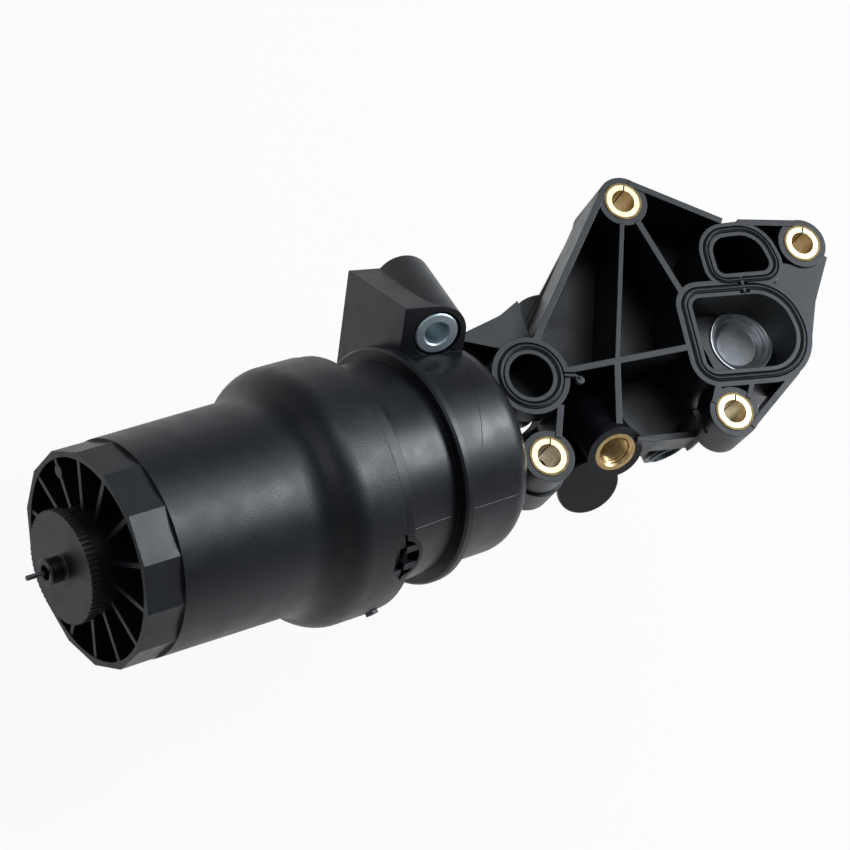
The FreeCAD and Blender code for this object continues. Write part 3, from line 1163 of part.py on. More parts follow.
def relief_spring():
    """The spring between the relief piston and the side cover."""
    low = -RELIEF_PISTON_BACK + RELIEF_PISTON_WALL + RUN_FIT
    high = -COVER_RIM - RUN_FIT
    spring = coil(RELIEF_SPRING_RADIUS, RELIEF_SPRING_WIRE, low, high, RELIEF_SPRING_TURNS)
    return placed_along(spring, COVER_FACE, SIDE)


def gallery_plug():
    """The zinc-plated steel cup that closes the gallery's drilling."""
    bore = STEEL_PLUG_RADIUS - STEEL_PLUG_WALL
    hollow = tube(bore, 0, STEEL_PLUG_WALL - STEEL_PLUG_DEPTH, STEEL_PLUG_PROUD)
    cup = tube(STEEL_PLUG_RADIUS, 0, -STEEL_PLUG_DEPTH, STEEL_PLUG_PROUD).cut(hollow)
    rim = [edge for edge in cup.Edges if edge.BoundBox.ZMin > STEEL_PLUG_PROUD - RUN_FIT
           and edge.BoundBox.XMax > STEEL_PLUG_RADIUS - RUN_FIT]
    cup = cup.makeChamfer(STEEL_PLUG_WALL / 3, rim)
    return placed_along(cup, V(GALLERY_X, GALLERY_END, -DUCT_DROP), V(0, -1, 0))


def check_seat():
    """The seat ring of the non-return valve, pressed into its chamber."""
    bore = CHECK_CHAMBER_RADIUS - DUCT_WALL
    seat = tube(bore, CHECK_SEAT_BORE, 0, CHECK_SEAT_THICKNESS)
    seat.translate(V(*CHECK_CHAMBER, CHECK_HEIGHT))
    return seat


def check_disc():
    """The non-return valve's plate with its guide stem."""
    disc = tube(CHECK_SEAT_BORE + CHECK_OVERLAP, 0, CHECK_DISC_UNDER, CHECK_HEIGHT - RUN_FIT)
    valve = disc.fuse(tube(CHECK_STEM_RADIUS, 0, CHECK_DISC_UNDER - CHECK_STEM_LENGTH, CHECK_DISC_UNDER))
    valve.translate(V(*CHECK_CHAMBER, 0))
    return valve


def check_spring():
    """The light spring under the non-return valve's plate."""
    low = CHECK_FLOOR + RUN_FIT
    high = CHECK_DISC_UNDER - RUN_FIT
    spring = coil(CHECK_SPRING_RADIUS, CHECK_SPRING_WIRE, low, high, CHECK_SPRING_TURNS)
    spring.translate(V(*CHECK_CHAMBER, 0))
    return spring


save("housing_body", housing_body())
save("filter_cap", filter_cap())
save("cap_o_ring", cap_o_ring())
save("drain_plug", drain_plug())
save("drain_plug_o_ring", drain_plug_o_ring())
save("drain_pin", drain_pin())
save("drain_spring", drain_spring())
save("drain_clip", drain_clip())
save("filter_media", filter_media())
save("element_cap_disc", element_cap_disc())
save("element_body_disc", element_body_disc())
save("element_core", element_core())
save("standpipe", standpipe())
save("bypass_seat", bypass_seat())
save("bypass_poppet", bypass_poppet())
save("bypass_spring", bypass_spring())
SLEEVE_NAMES = ["flange_sleeve_top_left", "flange_sleeve_top_right", "flange_sleeve_low_right",
                "flange_sleeve_low_left"]
for sleeve_name, (sleeve_place, sleeve_depth) in zip(SLEEVE_NAMES, BOSSES):
    save(sleeve_name, flange_sleeve(sleeve_place, sleeve_depth))
save("lug_sleeve", lug_sleeve())
save("sensor_insert", sensor_insert())
save("round_port_seal", round_port_seal())
save("twin_port_seal", twin_port_seal())
save("port_cup", port_cup())
save("side_cover", side_cover())
save("side_cover_o_ring", side_cover_o_ring())
save("relief_piston", relief_piston())
save("relief_spring", relief_spring())
save("gallery_plug", gallery_plug())
save("check_seat", check_seat())
save("check_disc", check_disc())
save("check_spring", check_spring())
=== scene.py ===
import math

import bpy
from mathutils import Matrix, Vector


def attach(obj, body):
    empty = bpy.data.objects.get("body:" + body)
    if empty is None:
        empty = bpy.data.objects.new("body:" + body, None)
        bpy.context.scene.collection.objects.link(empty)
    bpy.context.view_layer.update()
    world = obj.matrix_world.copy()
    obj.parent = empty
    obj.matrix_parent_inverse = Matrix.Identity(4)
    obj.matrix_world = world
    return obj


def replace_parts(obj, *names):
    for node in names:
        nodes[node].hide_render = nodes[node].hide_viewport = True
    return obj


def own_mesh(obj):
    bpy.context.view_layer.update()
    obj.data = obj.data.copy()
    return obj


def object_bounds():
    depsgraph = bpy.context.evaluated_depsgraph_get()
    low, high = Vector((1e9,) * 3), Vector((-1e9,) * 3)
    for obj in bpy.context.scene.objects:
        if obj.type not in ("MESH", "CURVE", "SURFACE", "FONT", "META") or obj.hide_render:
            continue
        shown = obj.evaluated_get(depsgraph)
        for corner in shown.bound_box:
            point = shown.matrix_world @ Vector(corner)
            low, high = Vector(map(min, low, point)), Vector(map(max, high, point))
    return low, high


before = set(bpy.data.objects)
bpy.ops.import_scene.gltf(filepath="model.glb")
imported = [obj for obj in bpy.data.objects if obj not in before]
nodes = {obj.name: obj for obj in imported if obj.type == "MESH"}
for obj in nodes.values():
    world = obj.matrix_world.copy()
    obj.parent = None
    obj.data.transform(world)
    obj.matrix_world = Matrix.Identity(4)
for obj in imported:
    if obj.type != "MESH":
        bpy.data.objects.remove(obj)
cad_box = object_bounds()
MM = 0.001


# Camera: a long lens above the flange, looking down on the sealing face and along the cap
# towards its rim. The housing has no natural resting side, so the picture decides how it lies.
IMAGE_PIXELS = 850
FOCAL_PIXELS = 2616.3
camera_place = Vector((-0.41656, -0.20076, 0.83299))
image_right = Vector((0.862759, -0.418085, 0.284345))
image_up = Vector((0.31344, 0.883526, 0.348047))
towards_camera = Vector((-0.39674, -0.211155, 0.893315))

camera_data = bpy.data.cameras.new("camera")
camera_data.lens = FOCAL_PIXELS / IMAGE_PIXELS * camera_data.sensor_width
NEAR, FAR = 0.05, 20
camera_data.clip_start = NEAR
camera_data.clip_end = FAR
camera = bpy.data.objects.new("camera", camera_data)
bpy.context.scene.collection.objects.link(camera)
camera.matrix_world = Matrix.Translation(camera_place) @ Matrix(
    (image_right, image_up, towards_camera)).transposed().to_4x4()
bpy.context.scene.camera = camera
bpy.context.scene.view_settings.view_transform = "Standard"


# Studio: a pale floor well below the part and a white surround, with soft boxes above.
# The floor keeps a faint shadow. The surround is white to the camera and half white in gloss.
def linear(hex_colour):
    """An sRGB hex colour as linear red, green, blue and alpha."""
    values = [int(hex_colour[i:i + 2], 16) / 255 for i in (0, 2, 4)]
    return tuple(v / 12.92 if v <= 0.04045 else ((v + 0.055) / 1.055) ** 2.4 for v in values) + (1.0,)


def add(tree, kind, inputs=None, **settings):
    """Adds a node with its own settings, and gives each named input a value or a link."""
    node = tree.nodes.new(kind)
    for name, value in settings.items():
        setattr(node, name, value)
    for name, value in (inputs or {}).items():
        if isinstance(value, bpy.types.NodeSocket):
            tree.links.new(value, node.inputs[name])
        else:
            node.inputs[name].default_value = value
    return node


def seen_directly(tree, in_gloss):
    """One for the rays that look at the surround: from the camera, in gloss and through glass."""
    path = add(tree, "ShaderNodeLightPath")
    gloss = add(tree, "ShaderNodeMath", {0: path.outputs["Is Glossy Ray"], 1: in_gloss}, operation="MULTIPLY")
    first = add(tree, "ShaderNodeMath", {0: path.outputs["Is Camera Ray"], 1: gloss.outputs[0]},
                operation="MAXIMUM")
    both = add(tree, "ShaderNodeMath", {0: first.outputs[0], 1: path.outputs["Is Transmission Ray"]},
               operation="MAXIMUM")
    return both.outputs[0]


FLOOR_GAP = 0.12
FLOOR_SIZE = 6.0
FLOOR_GLOW = 0.93
GLOSS_SHARE = 0.5
PAPER = linear("fbfbfb")
WHITE = (1.0, 1.0, 1.0, 1.0)
floor_mesh = bpy.data.meshes.new("floor")
half = FLOOR_SIZE / 2
floor_level = cad_box[0].z - FLOOR_GAP
corners = [(-half, -half), (half, -half), (half, half), (-half, half)]
floor_mesh.from_pydata([(x, y, floor_level) for x, y in corners], [], [(0, 1, 2, 3)])
floor = bpy.data.objects.new("floor", floor_mesh)
bpy.context.scene.collection.objects.link(floor)
floor_paper = bpy.data.materials.new("matt studio paper")
floor_paper.use_nodes = True
tree = floor_paper.node_tree
tree.nodes.clear()
matt = add(tree, "ShaderNodeBsdfDiffuse", {"Color": PAPER})
glow = add(tree, "ShaderNodeEmission", {"Color": WHITE, "Strength": 1.0})
share = add(tree, "ShaderNodeMath", {0: seen_directly(tree, GLOSS_SHARE), 1: FLOOR_GLOW},
            operation="MULTIPLY")
mixed = add(tree, "ShaderNodeMixShader", {0: share.outputs[0], 1: matt.outputs[0], 2: glow.outputs[0]})
add(tree, "ShaderNodeOutputMaterial", {"Surface": mixed.outputs[0]})
floor_mesh.materials.append(floor_paper)

ROOM_BLUE = (0.8, 0.9, 1.0, 1.0)
ROOM_LEVEL = 0.05
world = bpy.data.worlds.new("studio")
bpy.context.scene.world = world
world.use_nodes = True
tree = world.node_tree
tree.nodes.clear()
dim = add(tree, "ShaderNodeBackground", {"Color": ROOM_BLUE, "Strength": ROOM_LEVEL})
white = add(tree, "ShaderNodeBackground", {"Color": WHITE, "Strength": 1.0})
# In gloss the sweep of paper is pale up to the horizon, and fades to the dark room above it
SWEEP_TOP, SWEEP_FOOT = 0.35, -0.05
DARK_SHARE = 0.08
towards = add(tree, "ShaderNodeTexCoord").outputs["Generated"]
level = add(tree, "ShaderNodeSeparateXYZ", {0: towards}).outputs["Z"]
sweep = add(tree, "ShaderNodeMapRange", {"Value": level, "From Min": SWEEP_TOP, "From Max": SWEEP_FOOT,
                                         "To Min": DARK_SHARE, "To Max": GLOSS_SHARE})
mixed = add(tree, "ShaderNodeMixShader", {0: seen_directly(tree, sweep.outputs["Result"]), 1: dim.outputs[0],
                                          2: white.outputs[0]})
add(tree, "ShaderNodeOutputWorld", {"Surface": mixed.outputs[0]})


LAMP_BLUE = (0.88, 0.94, 1.0)


def soft_box(name, direction, distance, size, watts):
    """A square soft box that looks at the middle of the part."""
    middle = (cad_box[0] + cad_box[1]) / 2
    lamp = bpy.data.lights.new(name, "AREA")
    lamp.size = size
    lamp.energy = watts
    lamp.color = LAMP_BLUE
    box = bpy.data.objects.new(name, lamp)
    bpy.context.scene.collection.objects.link(box)
    away = direction.normalized()
    box.location = middle + away * distance
    box.rotation_mode = "QUATERNION"
    box.rotation_quaternion = away.to_track_quat("Z", "Y")


soft_box("side", image_right + image_up * 0.42 + towards_camera * 0.36, 1.3, 0.5, 12.5)
soft_box("flange", image_right * 0.5 + image_up * 0.62 + towards_camera * 0.6, 1.5, 0.9, 5)
soft_box("front", towards_camera + image_up * 0.2 - image_right * 0.6, 1.5, 0.9, 2.6)


# Body: one moulding of black glass-filled polyamide 6, from a polished tool. It is satin, with
# slow changes of gloss where the melt flowed. The glass fibre's skin is really about 0.02 mm fine,
# and its pattern is drawn at 0.9 mm so that it shows.
def new_surface(name, base, roughness, **constants):
    """A material with its shader and the point on the piece, in metres."""
    material = bpy.data.materials.new(name)
    material.use_nodes = True
    tree = material.node_tree
    shader = tree.nodes["Principled BSDF"]
    shader.inputs["Base Color"].default_value = base
    shader.inputs["Roughness"].default_value = roughness
    for key, value in constants.items():
        shader.inputs[key.replace("_", " ")].default_value = value
    place = add(tree, "ShaderNodeTexCoord").outputs["Object"]
    return material, tree, shader, place


def noise(tree, place, size_mm, detail=2.0):
    """A cloudy pattern whose features are about a given size."""
    made = add(tree, "ShaderNodeTexNoise", {"Vector": place, "Scale": 1 / (size_mm * MM), "Detail": detail})
    return made.outputs["Fac"]


def spread(tree, value, low, high):
    """Turns the middle of a cloudy pattern into a range of values."""
    made = add(tree, "ShaderNodeMapRange", {"Value": value, "From Min": 0.3, "From Max": 0.7,
                                            "To Min": low, "To Max": high})
    return made.outputs["Result"]


def tint(tree, value, dark, light):
    """A colour between two, by a cloudy pattern."""
    made = add(tree, "ShaderNodeMix", {"Factor": spread(tree, value, 0.0, 1.0), "A": dark, "B": light},
               data_type="RGBA")
    return made.outputs["Result"]


def relief(tree, shader, height, depth_mm, edge_mm):
    """Lets a height pattern and a small edge radius shape the light on the surface."""
    inputs = {"Height": height, "Distance": depth_mm * MM, "Strength": 1.0}
    if edge_mm:
        inputs["Normal"] = add(tree, "ShaderNodeBevel", {"Radius": edge_mm * MM}, samples=6).outputs[0]
    bump = add(tree, "ShaderNodeBump", inputs)
    tree.links.new(bump.outputs[0], shader.inputs["Normal"])


def moulded_polyamide(name, dark, light, gloss, grain_mm, grain_depth_mm, edge_mm):
    """Black polyamide: gloss gives its smoothest and dullest roughness."""
    material, tree, shader, place = new_surface(name, dark, gloss[0], IOR=1.53)
    flow = noise(tree, place, 28.0, 3.0)
    tree.links.new(tint(tree, flow, dark, light), shader.inputs["Base Color"])
    tree.links.new(spread(tree, noise(tree, place, 9.0, 4.0), *gloss), shader.inputs["Roughness"])
    relief(tree, shader, noise(tree, place, grain_mm, 3.0), grain_depth_mm, edge_mm)
    return material


def smooth_node(name, material, angle=32):
    """A CAD node keeps its mesh, with soft shading over its curves and its own material."""
    piece = nodes[name]
    piece.data.materials.clear()
    piece.data.materials.append(material)
    piece.data.shade_smooth()
    piece.data.set_sharp_from_angle(angle=math.radians(angle))
    return piece


# The bowl's own frame in millimetres: Z runs along the bowl from the cap's rim to the port
BOWL_AXIS = Vector((0.97742, 0.0, -0.21132))
RIM_TO_PORT = 187.0
AXIS_UNDER_PORT = Vector((0.0, -9.6, -31.6))


def frame_along(origin_mm, x_axis, z_axis):
    """Places a piece made about Z in millimetres: its origin, its X direction and its own axis."""
    z = z_axis.normalized()
    x = (x_axis - z * x_axis.dot(z)).normalized()
    turn = Matrix((x, z.cross(x), z)).transposed().to_4x4()
    return Matrix.Translation(origin_mm * MM) @ turn @ Matrix.Scale(MM, 4)


away_from_flange = Vector((-0.21132, 0.0, -0.97742))
bowl_frame = frame_along(AXIS_UNDER_PORT - BOWL_AXIS * RIM_TO_PORT, away_from_flange, BOWL_AXIS)
flange_frame = Matrix.Scale(MM, 4)


def new_piece(name, parts, place, material, body, angle=35):
    """A piece from (points, faces) parts in millimetres, placed and riding on its body."""
    points = []
    faces = []
    for part_points, part_faces in parts:
        faces += [[len(points) + i for i in face] for face in part_faces]
        points += part_points
    mesh = bpy.data.meshes.new(name)
    mesh.from_pydata([place @ Vector(point) for point in points], [], faces)
    mesh.validate()
    mesh.materials.append(material)
    mesh.shade_smooth()
    mesh.set_sharp_from_angle(angle=math.radians(angle))
    piece = bpy.data.objects.new(name, mesh)
    bpy.context.scene.collection.objects.link(piece)
    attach(piece, body)
    return piece


def strip(rows, closed_rows, closed_across):
    """Joins rows of points, all of one length, into a skin of quads."""
    width = len(rows[0])
    points = [point for row in rows for point in row]
    faces = []
    for i in range(len(rows) if closed_rows else len(rows) - 1):
        for j in range(width if closed_across else width - 1):
            a = i * width + j
            b = i * width + (j + 1) % width
            c = ((i + 1) % len(rows)) * width
            faces.append([a, c + j, c + (j + 1) % width, b])
    return points, faces


def raised_line(marks, width, height):
    """A thin raised seam over (height along the bowl, angle from the top, radius) marks."""
    rows = []
    for i, (along, angle, radius) in enumerate(marks):
        before = marks[max(i - 1, 0)]
        after = marks[min(i + 1, len(marks) - 1)]
        run = Vector((after[0] - before[0], math.radians(after[1] - before[1]) * radius)).normalized()
        row = []
        for side, out in ((-0.5, -0.05), (-0.2, height), (0.2, height), (0.5, -0.05)):
            turn = math.radians(180 - angle) - side * width * run.x / radius
            row.append(((radius + out) * math.cos(turn), (radius + out) * math.sin(turn),
                        along - side * width * run.y))
        rows.append(row)
    return strip(rows, False, False)


body_polyamide = moulded_polyamide("polyamide 6 with glass, tool-polished", linear("0a0d12"),
                                   linear("0e1219"), (0.34, 0.46), 0.9, 0.012, 0.35)
smooth_node("housing_body", body_polyamide)
# Where the tool's halves met, a seam runs along both barrels, and an ejector's trace crosses the rear
BARREL_START, BARREL_END, REAR_START, REAR_END = 103.2, 127.4, 131.6, 155.0
BARREL_RADIUS = 39.8
BARREL_DRAFT = 1.0
SEAM_ANGLE = -49.0
SEAM_STEPS = 12
TRACE_START, TRACE_RUN = 152.0, 11.0
TRACE_ANGLE, TRACE_SWEEP = 28.0, 46.0
TRACE_STEPS = 24
front = [(BARREL_START + i * (BARREL_END - BARREL_START) / SEAM_STEPS, SEAM_ANGLE,
          BARREL_RADIUS + BARREL_DRAFT * (1 - i / SEAM_STEPS)) for i in range(SEAM_STEPS + 1)]
rear = [(REAR_START + i * (REAR_END - REAR_START) / SEAM_STEPS, SEAM_ANGLE, BARREL_RADIUS)
        for i in range(SEAM_STEPS + 1)]
trace = [(TRACE_START - TRACE_RUN * i / TRACE_STEPS, TRACE_ANGLE - TRACE_SWEEP * i / TRACE_STEPS,
          BARREL_RADIUS) for i in range(TRACE_STEPS + 1)]
new_piece("tool_seams", [raised_line(front, 0.5, 0.12), raised_line(rear, 0.5, 0.12),
                         raised_line(trace, 0.4, 0.06)], bowl_frame, body_polyamide, "housing")


# Cap and drain plug: mouldings of the same polyamide. The cap's tool was spark-eroded, which leaves
# an even grain on the barrel and shoulder, and smoother flats for the wrench. The grain is really
# about 0.1 mm, and is drawn at 0.6 mm so that it shows.
FLATS_END = 15.5
FLATS_GRAIN = 0.25
cap_polyamide = moulded_polyamide("polyamide 6 with glass, spark-grained", linear("0b0f14"),
                                  linear("10151c"), (0.38, 0.48), 0.6, 0.05, 0.35)
tree = cap_polyamide.node_tree
grain = next(node for node in tree.nodes if node.type == "BUMP")
point = next(node for node in tree.nodes if node.type == "TEX_COORD").outputs["Object"]
along = add(tree, "ShaderNodeVectorMath", {0: point, 1: BOWL_AXIS}, operation="DOT_PRODUCT").outputs["Value"]
rim_level = (AXIS_UNDER_PORT.dot(BOWL_AXIS) - RIM_TO_PORT) * MM
strength = add(tree, "ShaderNodeMapRange", {"Value": along, "From Min": rim_level + (FLATS_END - 1) * MM,
                                            "From Max": rim_level + FLATS_END * MM,
                                            "To Min": FLATS_GRAIN, "To Max": 1.0})
tree.links.new(strength.outputs["Result"], grain.inputs["Strength"])

# A little dust lies in drifts on the shoulder and the bell: one speck in each cell of 1.5 mm
DUST_START, DUST_FULL = 62.0, 74.0
DUST_CELL = 1.5
DUST_DRIFT = 7.0
DUST_GREY = linear("77777a")
cells = add(tree, "ShaderNodeTexVoronoi", {"Vector": point, "Scale": 1 / (DUST_CELL * MM)})
specks = cells.outputs["Distance"]
dots = add(tree, "ShaderNodeMapRange", {"Value": specks, "From Min": 0.14, "From Max": 0.06, "To Max": 0.5})
drift = spread(tree, noise(tree, point, DUST_DRIFT, 3.0), -0.8, 1.0)
where = add(tree, "ShaderNodeMapRange", {"Value": along, "From Min": rim_level + DUST_START * MM,
                                         "From Max": rim_level + DUST_FULL * MM})
amount = add(tree, "ShaderNodeMath", {0: dots.outputs["Result"], 1: where.outputs["Result"]},
             operation="MULTIPLY")
amount = add(tree, "ShaderNodeMath", {0: amount.outputs[0], 1: drift}, operation="MULTIPLY", use_clamp=True)
shader = tree.nodes["Principled BSDF"]
black = shader.inputs["Base Color"].links[0].from_socket
dusted = add(tree, "ShaderNodeMix", {"Factor": amount.outputs[0], "A": black, "B": DUST_GREY},
             data_type="RGBA")
tree.links.new(dusted.outputs["Result"], shader.inputs["Base Color"])
smooth_node("filter_cap", cap_polyamide)
smooth_node("drain_plug", body_polyamide)


def turned(profile, segments):
    """A skin turned about Z from (radius, height) points; it needs no cap where they meet the axis."""
    rows = []
    for i in range(segments):
        turn = 2 * math.pi * i / segments
        rows.append([(r * math.cos(turn), r * math.sin(turn), z) for r, z in profile])
    return strip(rows, True, False)


def rounded(profile, radius, steps=4):
    """The same profile with each inner corner rounded, as far as its neighbours leave room."""
    made = [profile[0]]
    for before, here, after in zip(profile, profile[1:], profile[2:]):
        here = Vector(here)
        back = Vector(before) - here
        on = Vector(after) - here
        cut = min(radius, back.length * 0.45, on.length * 0.45)
        start = here + back.normalized() * cut
        end = here + on.normalized() * cut
        for i in range(steps + 1):
            share = i / steps
            made.append(tuple(start.lerp(here, share).lerp(here.lerp(end, share), share)))
    return made + [profile[-1]]


# The plug's nozzle rises from a small rounded foot, and ends in a round lip
PLUG_FACE = -9.6
NOZZLE_LENGTH = 6.0
NOZZLE_END = PLUG_FACE - NOZZLE_LENGTH
root = rounded([(5.6, PLUG_FACE + 0.1), (4.6, PLUG_FACE - 0.2), (4.35, PLUG_FACE - 1.6)], 0.5)
lip = rounded([(4.38, NOZZLE_END + 1.2), (4.75, NOZZLE_END + 0.8), (4.75, NOZZLE_END + 0.2),
               (4.3, NOZZLE_END - 0.05), (3.2, NOZZLE_END - 0.05), (2.72, NOZZLE_END + 0.3)], 0.25)
new_piece("plug_rings", [turned(root, 64), turned(lip, 64)], bowl_frame, body_polyamide, "plug")


# Seals: black acrylate rubber in the flange, moulded with a fine flash line and pressed into its
# grooves, and nitrile rubber rings inside. Talc leaves a dull, slightly cloudy skin.
def moulded_rubber(name, base, roughness):
    """Dull black rubber with a dusting of talc."""
    material, tree, shader, place = new_surface(name, base, roughness, IOR=1.52)
    tree.links.new(tint(tree, noise(tree, place, 3.0, 4.0), base, tuple(c * 1.6 for c in base[:3]) + (1.0,)),
                   shader.inputs["Base Color"])
    tree.links.new(spread(tree, noise(tree, place, 1.2), roughness - 0.06, roughness + 0.06),
                   shader.inputs["Roughness"])
    relief(tree, shader, noise(tree, place, 0.6), 0.01, 0.3)
    return material


acrylate_rubber = moulded_rubber("acrylate rubber, moulded", linear("1b1d20"), 0.45)
nitrile_rubber = moulded_rubber("nitrile rubber, moulded", linear("1a1a1b"), 0.45)


def round_loop(radius, segments=96):
    """A circle about the round port, as (point, outward direction) pairs."""
    turns = [2 * math.pi * i / segments for i in range(segments)]
    return [(Vector((math.cos(a), math.sin(a))) * radius, Vector((math.cos(a), math.sin(a)))) for a in turns]


def port_loop(corners, fillets, grow, steps=14):
    """A port's outline with round corners, moved outwards, as (point, outward direction) pairs."""
    loop = []
    for i, (corner, fillet) in enumerate(zip(corners, fillets)):
        here = Vector(corner)
        before = (Vector(corners[i - 1]) - here).normalized()
        after = (Vector(corners[(i + 1) % len(corners)]) - here).normalized()
        half = before.angle(after) / 2
        centre = here + (before + after).normalized() * (fillet / math.sin(half))
        first = here + before * (fillet / math.tan(half)) - centre
        last = here + after * (fillet / math.tan(half)) - centre
        for k in range(steps + 1):
            away = first.slerp(last, k / steps).normalized()
            loop.append((centre + away * (fillet + grow), away))
    return loop


def swept(path, section, closed=True):
    """A bead whose section is (outward, height) points, along (point, outward direction) pairs."""
    rows = [[(point.x + away.x * out, point.y + away.y * out, height) for out, height in section]
            for point, away in path]
    return strip(rows, closed, False)


def stroke(points):
    """An open path through a few points, as (point, sideways direction) pairs."""
    path = []
    for i, point in enumerate(points):
        run = Vector(points[min(i + 1, len(points) - 1)]) - Vector(points[max(i - 1, 0)])
        path.append((Vector(point), Vector((-run.y, run.x)).normalized()))
    return path


SEAL_BODY = rounded([(-1.05, -3.0), (-1.05, -0.15), (-0.55, -0.05), (-0.42, 0.45), (0.0, 0.62), (0.42, 0.45),
                     (0.55, -0.05), (1.05, -0.15), (1.05, -3.0)], 0.22, 3)
TAIL_SECTION = rounded([(-0.7, -1.5), (-0.7, 0.0), (0.7, 0.0), (0.7, -1.5)], 0.4, 3)
LARGE_PORT = [(74.1, 7.0), (109.5, -1.9), (109.5, -32.6), (67.4, -21.6)]
SMALL_PORT = [(93.3, 26.6), (112.4, 22.7), (112.6, 6.7), (90.3, 12.2)]
SEAL_OUT = 3.1
SMALL_SEAL_OUT = 2.9
SMALL_SEAL_SHARE = 0.81
ROUND_PORT_RADIUS = 8.5
TAIL = [(12.4, -4.0), (14.4, -4.8), (16.2, -5.4), (16.9, -6.2), (17.4, -7.8)]
ring_bead = swept(round_loop(ROUND_PORT_RADIUS + SEAL_OUT), SEAL_BODY)
tail = swept(stroke(TAIL), TAIL_SECTION, False)
bulb = turned(rounded([(1.8, -1.5), (1.8, 0.0), (0.6, 0.0)], 0.5) + [(0.0, 0.0)], 32)
bulb = ([(x + TAIL[-1][0], y + TAIL[-1][1], z) for x, y, z in bulb[0]], bulb[1])
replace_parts(new_piece("round_port_bead", [ring_bead, tail, bulb], flange_frame, acrylate_rubber, "housing"),
            "round_port_seal")
small_body = [(out * SMALL_SEAL_SHARE, height) for out, height in SEAL_BODY]
large_bead = swept(port_loop(LARGE_PORT, [3.7, 13.7, 13.7, 4.7], SEAL_OUT), SEAL_BODY)
small_bead = swept(port_loop(SMALL_PORT, [6.3, 9.5, 3.7, 3.2], SMALL_SEAL_OUT), small_body)
bridge = swept(stroke([(98.1, 8.4), (97.5, 5.4), (96.9, 2.3)]), TAIL_SECTION, False)
twin_bead = [large_bead, small_bead, bridge]
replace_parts(new_piece("twin_port_bead", twin_bead, flange_frame, acrylate_rubber, "housing"),
            "twin_port_seal")
for name in ("cap_o_ring", "drain_plug_o_ring", "side_cover_o_ring"):
    smooth_node(name, nitrile_rubber)


# Bushes: rolled brass strip in the flange, a turned brass insert for the pressure switch, and a
# zinc-plated steel bush in the lug. All are moulded in, and knurls keep them from turning. Tool marks
# are really finer, and are drawn at about half a millimetre so that they show.
def worked_metal(name, base, worn, roughness, mark_mm, depth_mm, along=(1.0, 1.0, 1.0)):
    """Metal with tool marks of a given spacing, drawn out along one direction."""
    material, tree, shader, place = new_surface(name, base, roughness, Metallic=1.0)
    stretched = add(tree, "ShaderNodeMapping", {"Vector": place, "Scale": along}).outputs[0]
    marks = noise(tree, stretched, mark_mm, 3.0)
    tree.links.new(tint(tree, noise(tree, place, 2.5, 3.0), base, worn), shader.inputs["Base Color"])
    tree.links.new(spread(tree, marks, roughness - 0.07, roughness + 0.07), shader.inputs["Roughness"])
    relief(tree, shader, marks, depth_mm, 0.15)
    return material


rolled_brass = worked_metal("brass strip, rolled and sized", linear("f1e2c2"), linear("e2cc9e"), 0.42, 0.5,
                            0.003, (1.0, 1.0, 0.2))
turned_brass = worked_metal("brass, turned", linear("ecd09a"), linear("cdab74"), 0.34, 0.4, 0.003)
zinc_steel = worked_metal("steel, zinc plated and passivated", linear("d6e4e9"), linear("c4d3d9"), 0.5, 0.6,
                          0.003)
# The gallery plug's zinc is much darker than plain zinc: painted shade for where it sits under the flange's
# bottom wall
shaded_zinc_steel = worked_metal("steel, zinc plated, darkened as painted shade", linear("6f7a7d"), linear("5c6669"), 0.5, 0.6, 0.003)
# The knurl's teeth are real, but their brass is much darker than the strip: painted shade of the teeth and
# the gaps between them
knurl_brass_shaded = worked_metal("brass, knurled, darkened as painted shade", linear("8d7a52"), linear("66583c"), 0.5, 0.4, 0.01)
for corner in ("top_left", "top_right", "low_right", "low_left"):
    smooth_node("flange_sleeve_" + corner, rolled_brass)
smooth_node("sensor_insert", turned_brass)
smooth_node("lug_sleeve", zinc_steel)
# The gallery plug gets the zinc darkened as painted shade
smooth_node("gallery_plug", shaded_zinc_steel)


def knurl(x, y, radius, teeth, tooth, low, high):
    """A ring of small teeth round a bush's mouth."""
    chamfer = 0.08
    rows = []
    for i in range(2 * teeth):
        turn = math.pi * i / teeth
        reach = radius + (tooth if i % 2 else 0.0)
        profile = ((reach, low), (reach, high - chamfer), (reach - chamfer, high),
                   (radius - KNURL_BAND, high))
        rows.append([(x + r * math.cos(turn), y + r * math.sin(turn), z) for r, z in profile])
    return strip(rows, True, False)


BUSH_RADIUS = 7.35
KNURL_TEETH = 54
KNURL_DEPTH = 0.35
KNURL_LOW, KNURL_HIGH = -0.4, 0.03
KNURL_BAND = 0.75
bolt_places = {"top_left": (67.1, 51.6), "top_right": (129.6, 12.8), "low_right": (69.6, -39.3),
               "low_left": (-7.5, -30.3)}
for corner, (x, y) in bolt_places.items():
    teeth = knurl(x, y, BUSH_RADIUS, KNURL_TEETH, KNURL_DEPTH, KNURL_LOW, KNURL_HIGH)
    # Each knurl ring gets the brass darkened as painted shade
    new_piece("knurl_" + corner, [teeth], flange_frame, knurl_brass_shaded, "housing", 20)

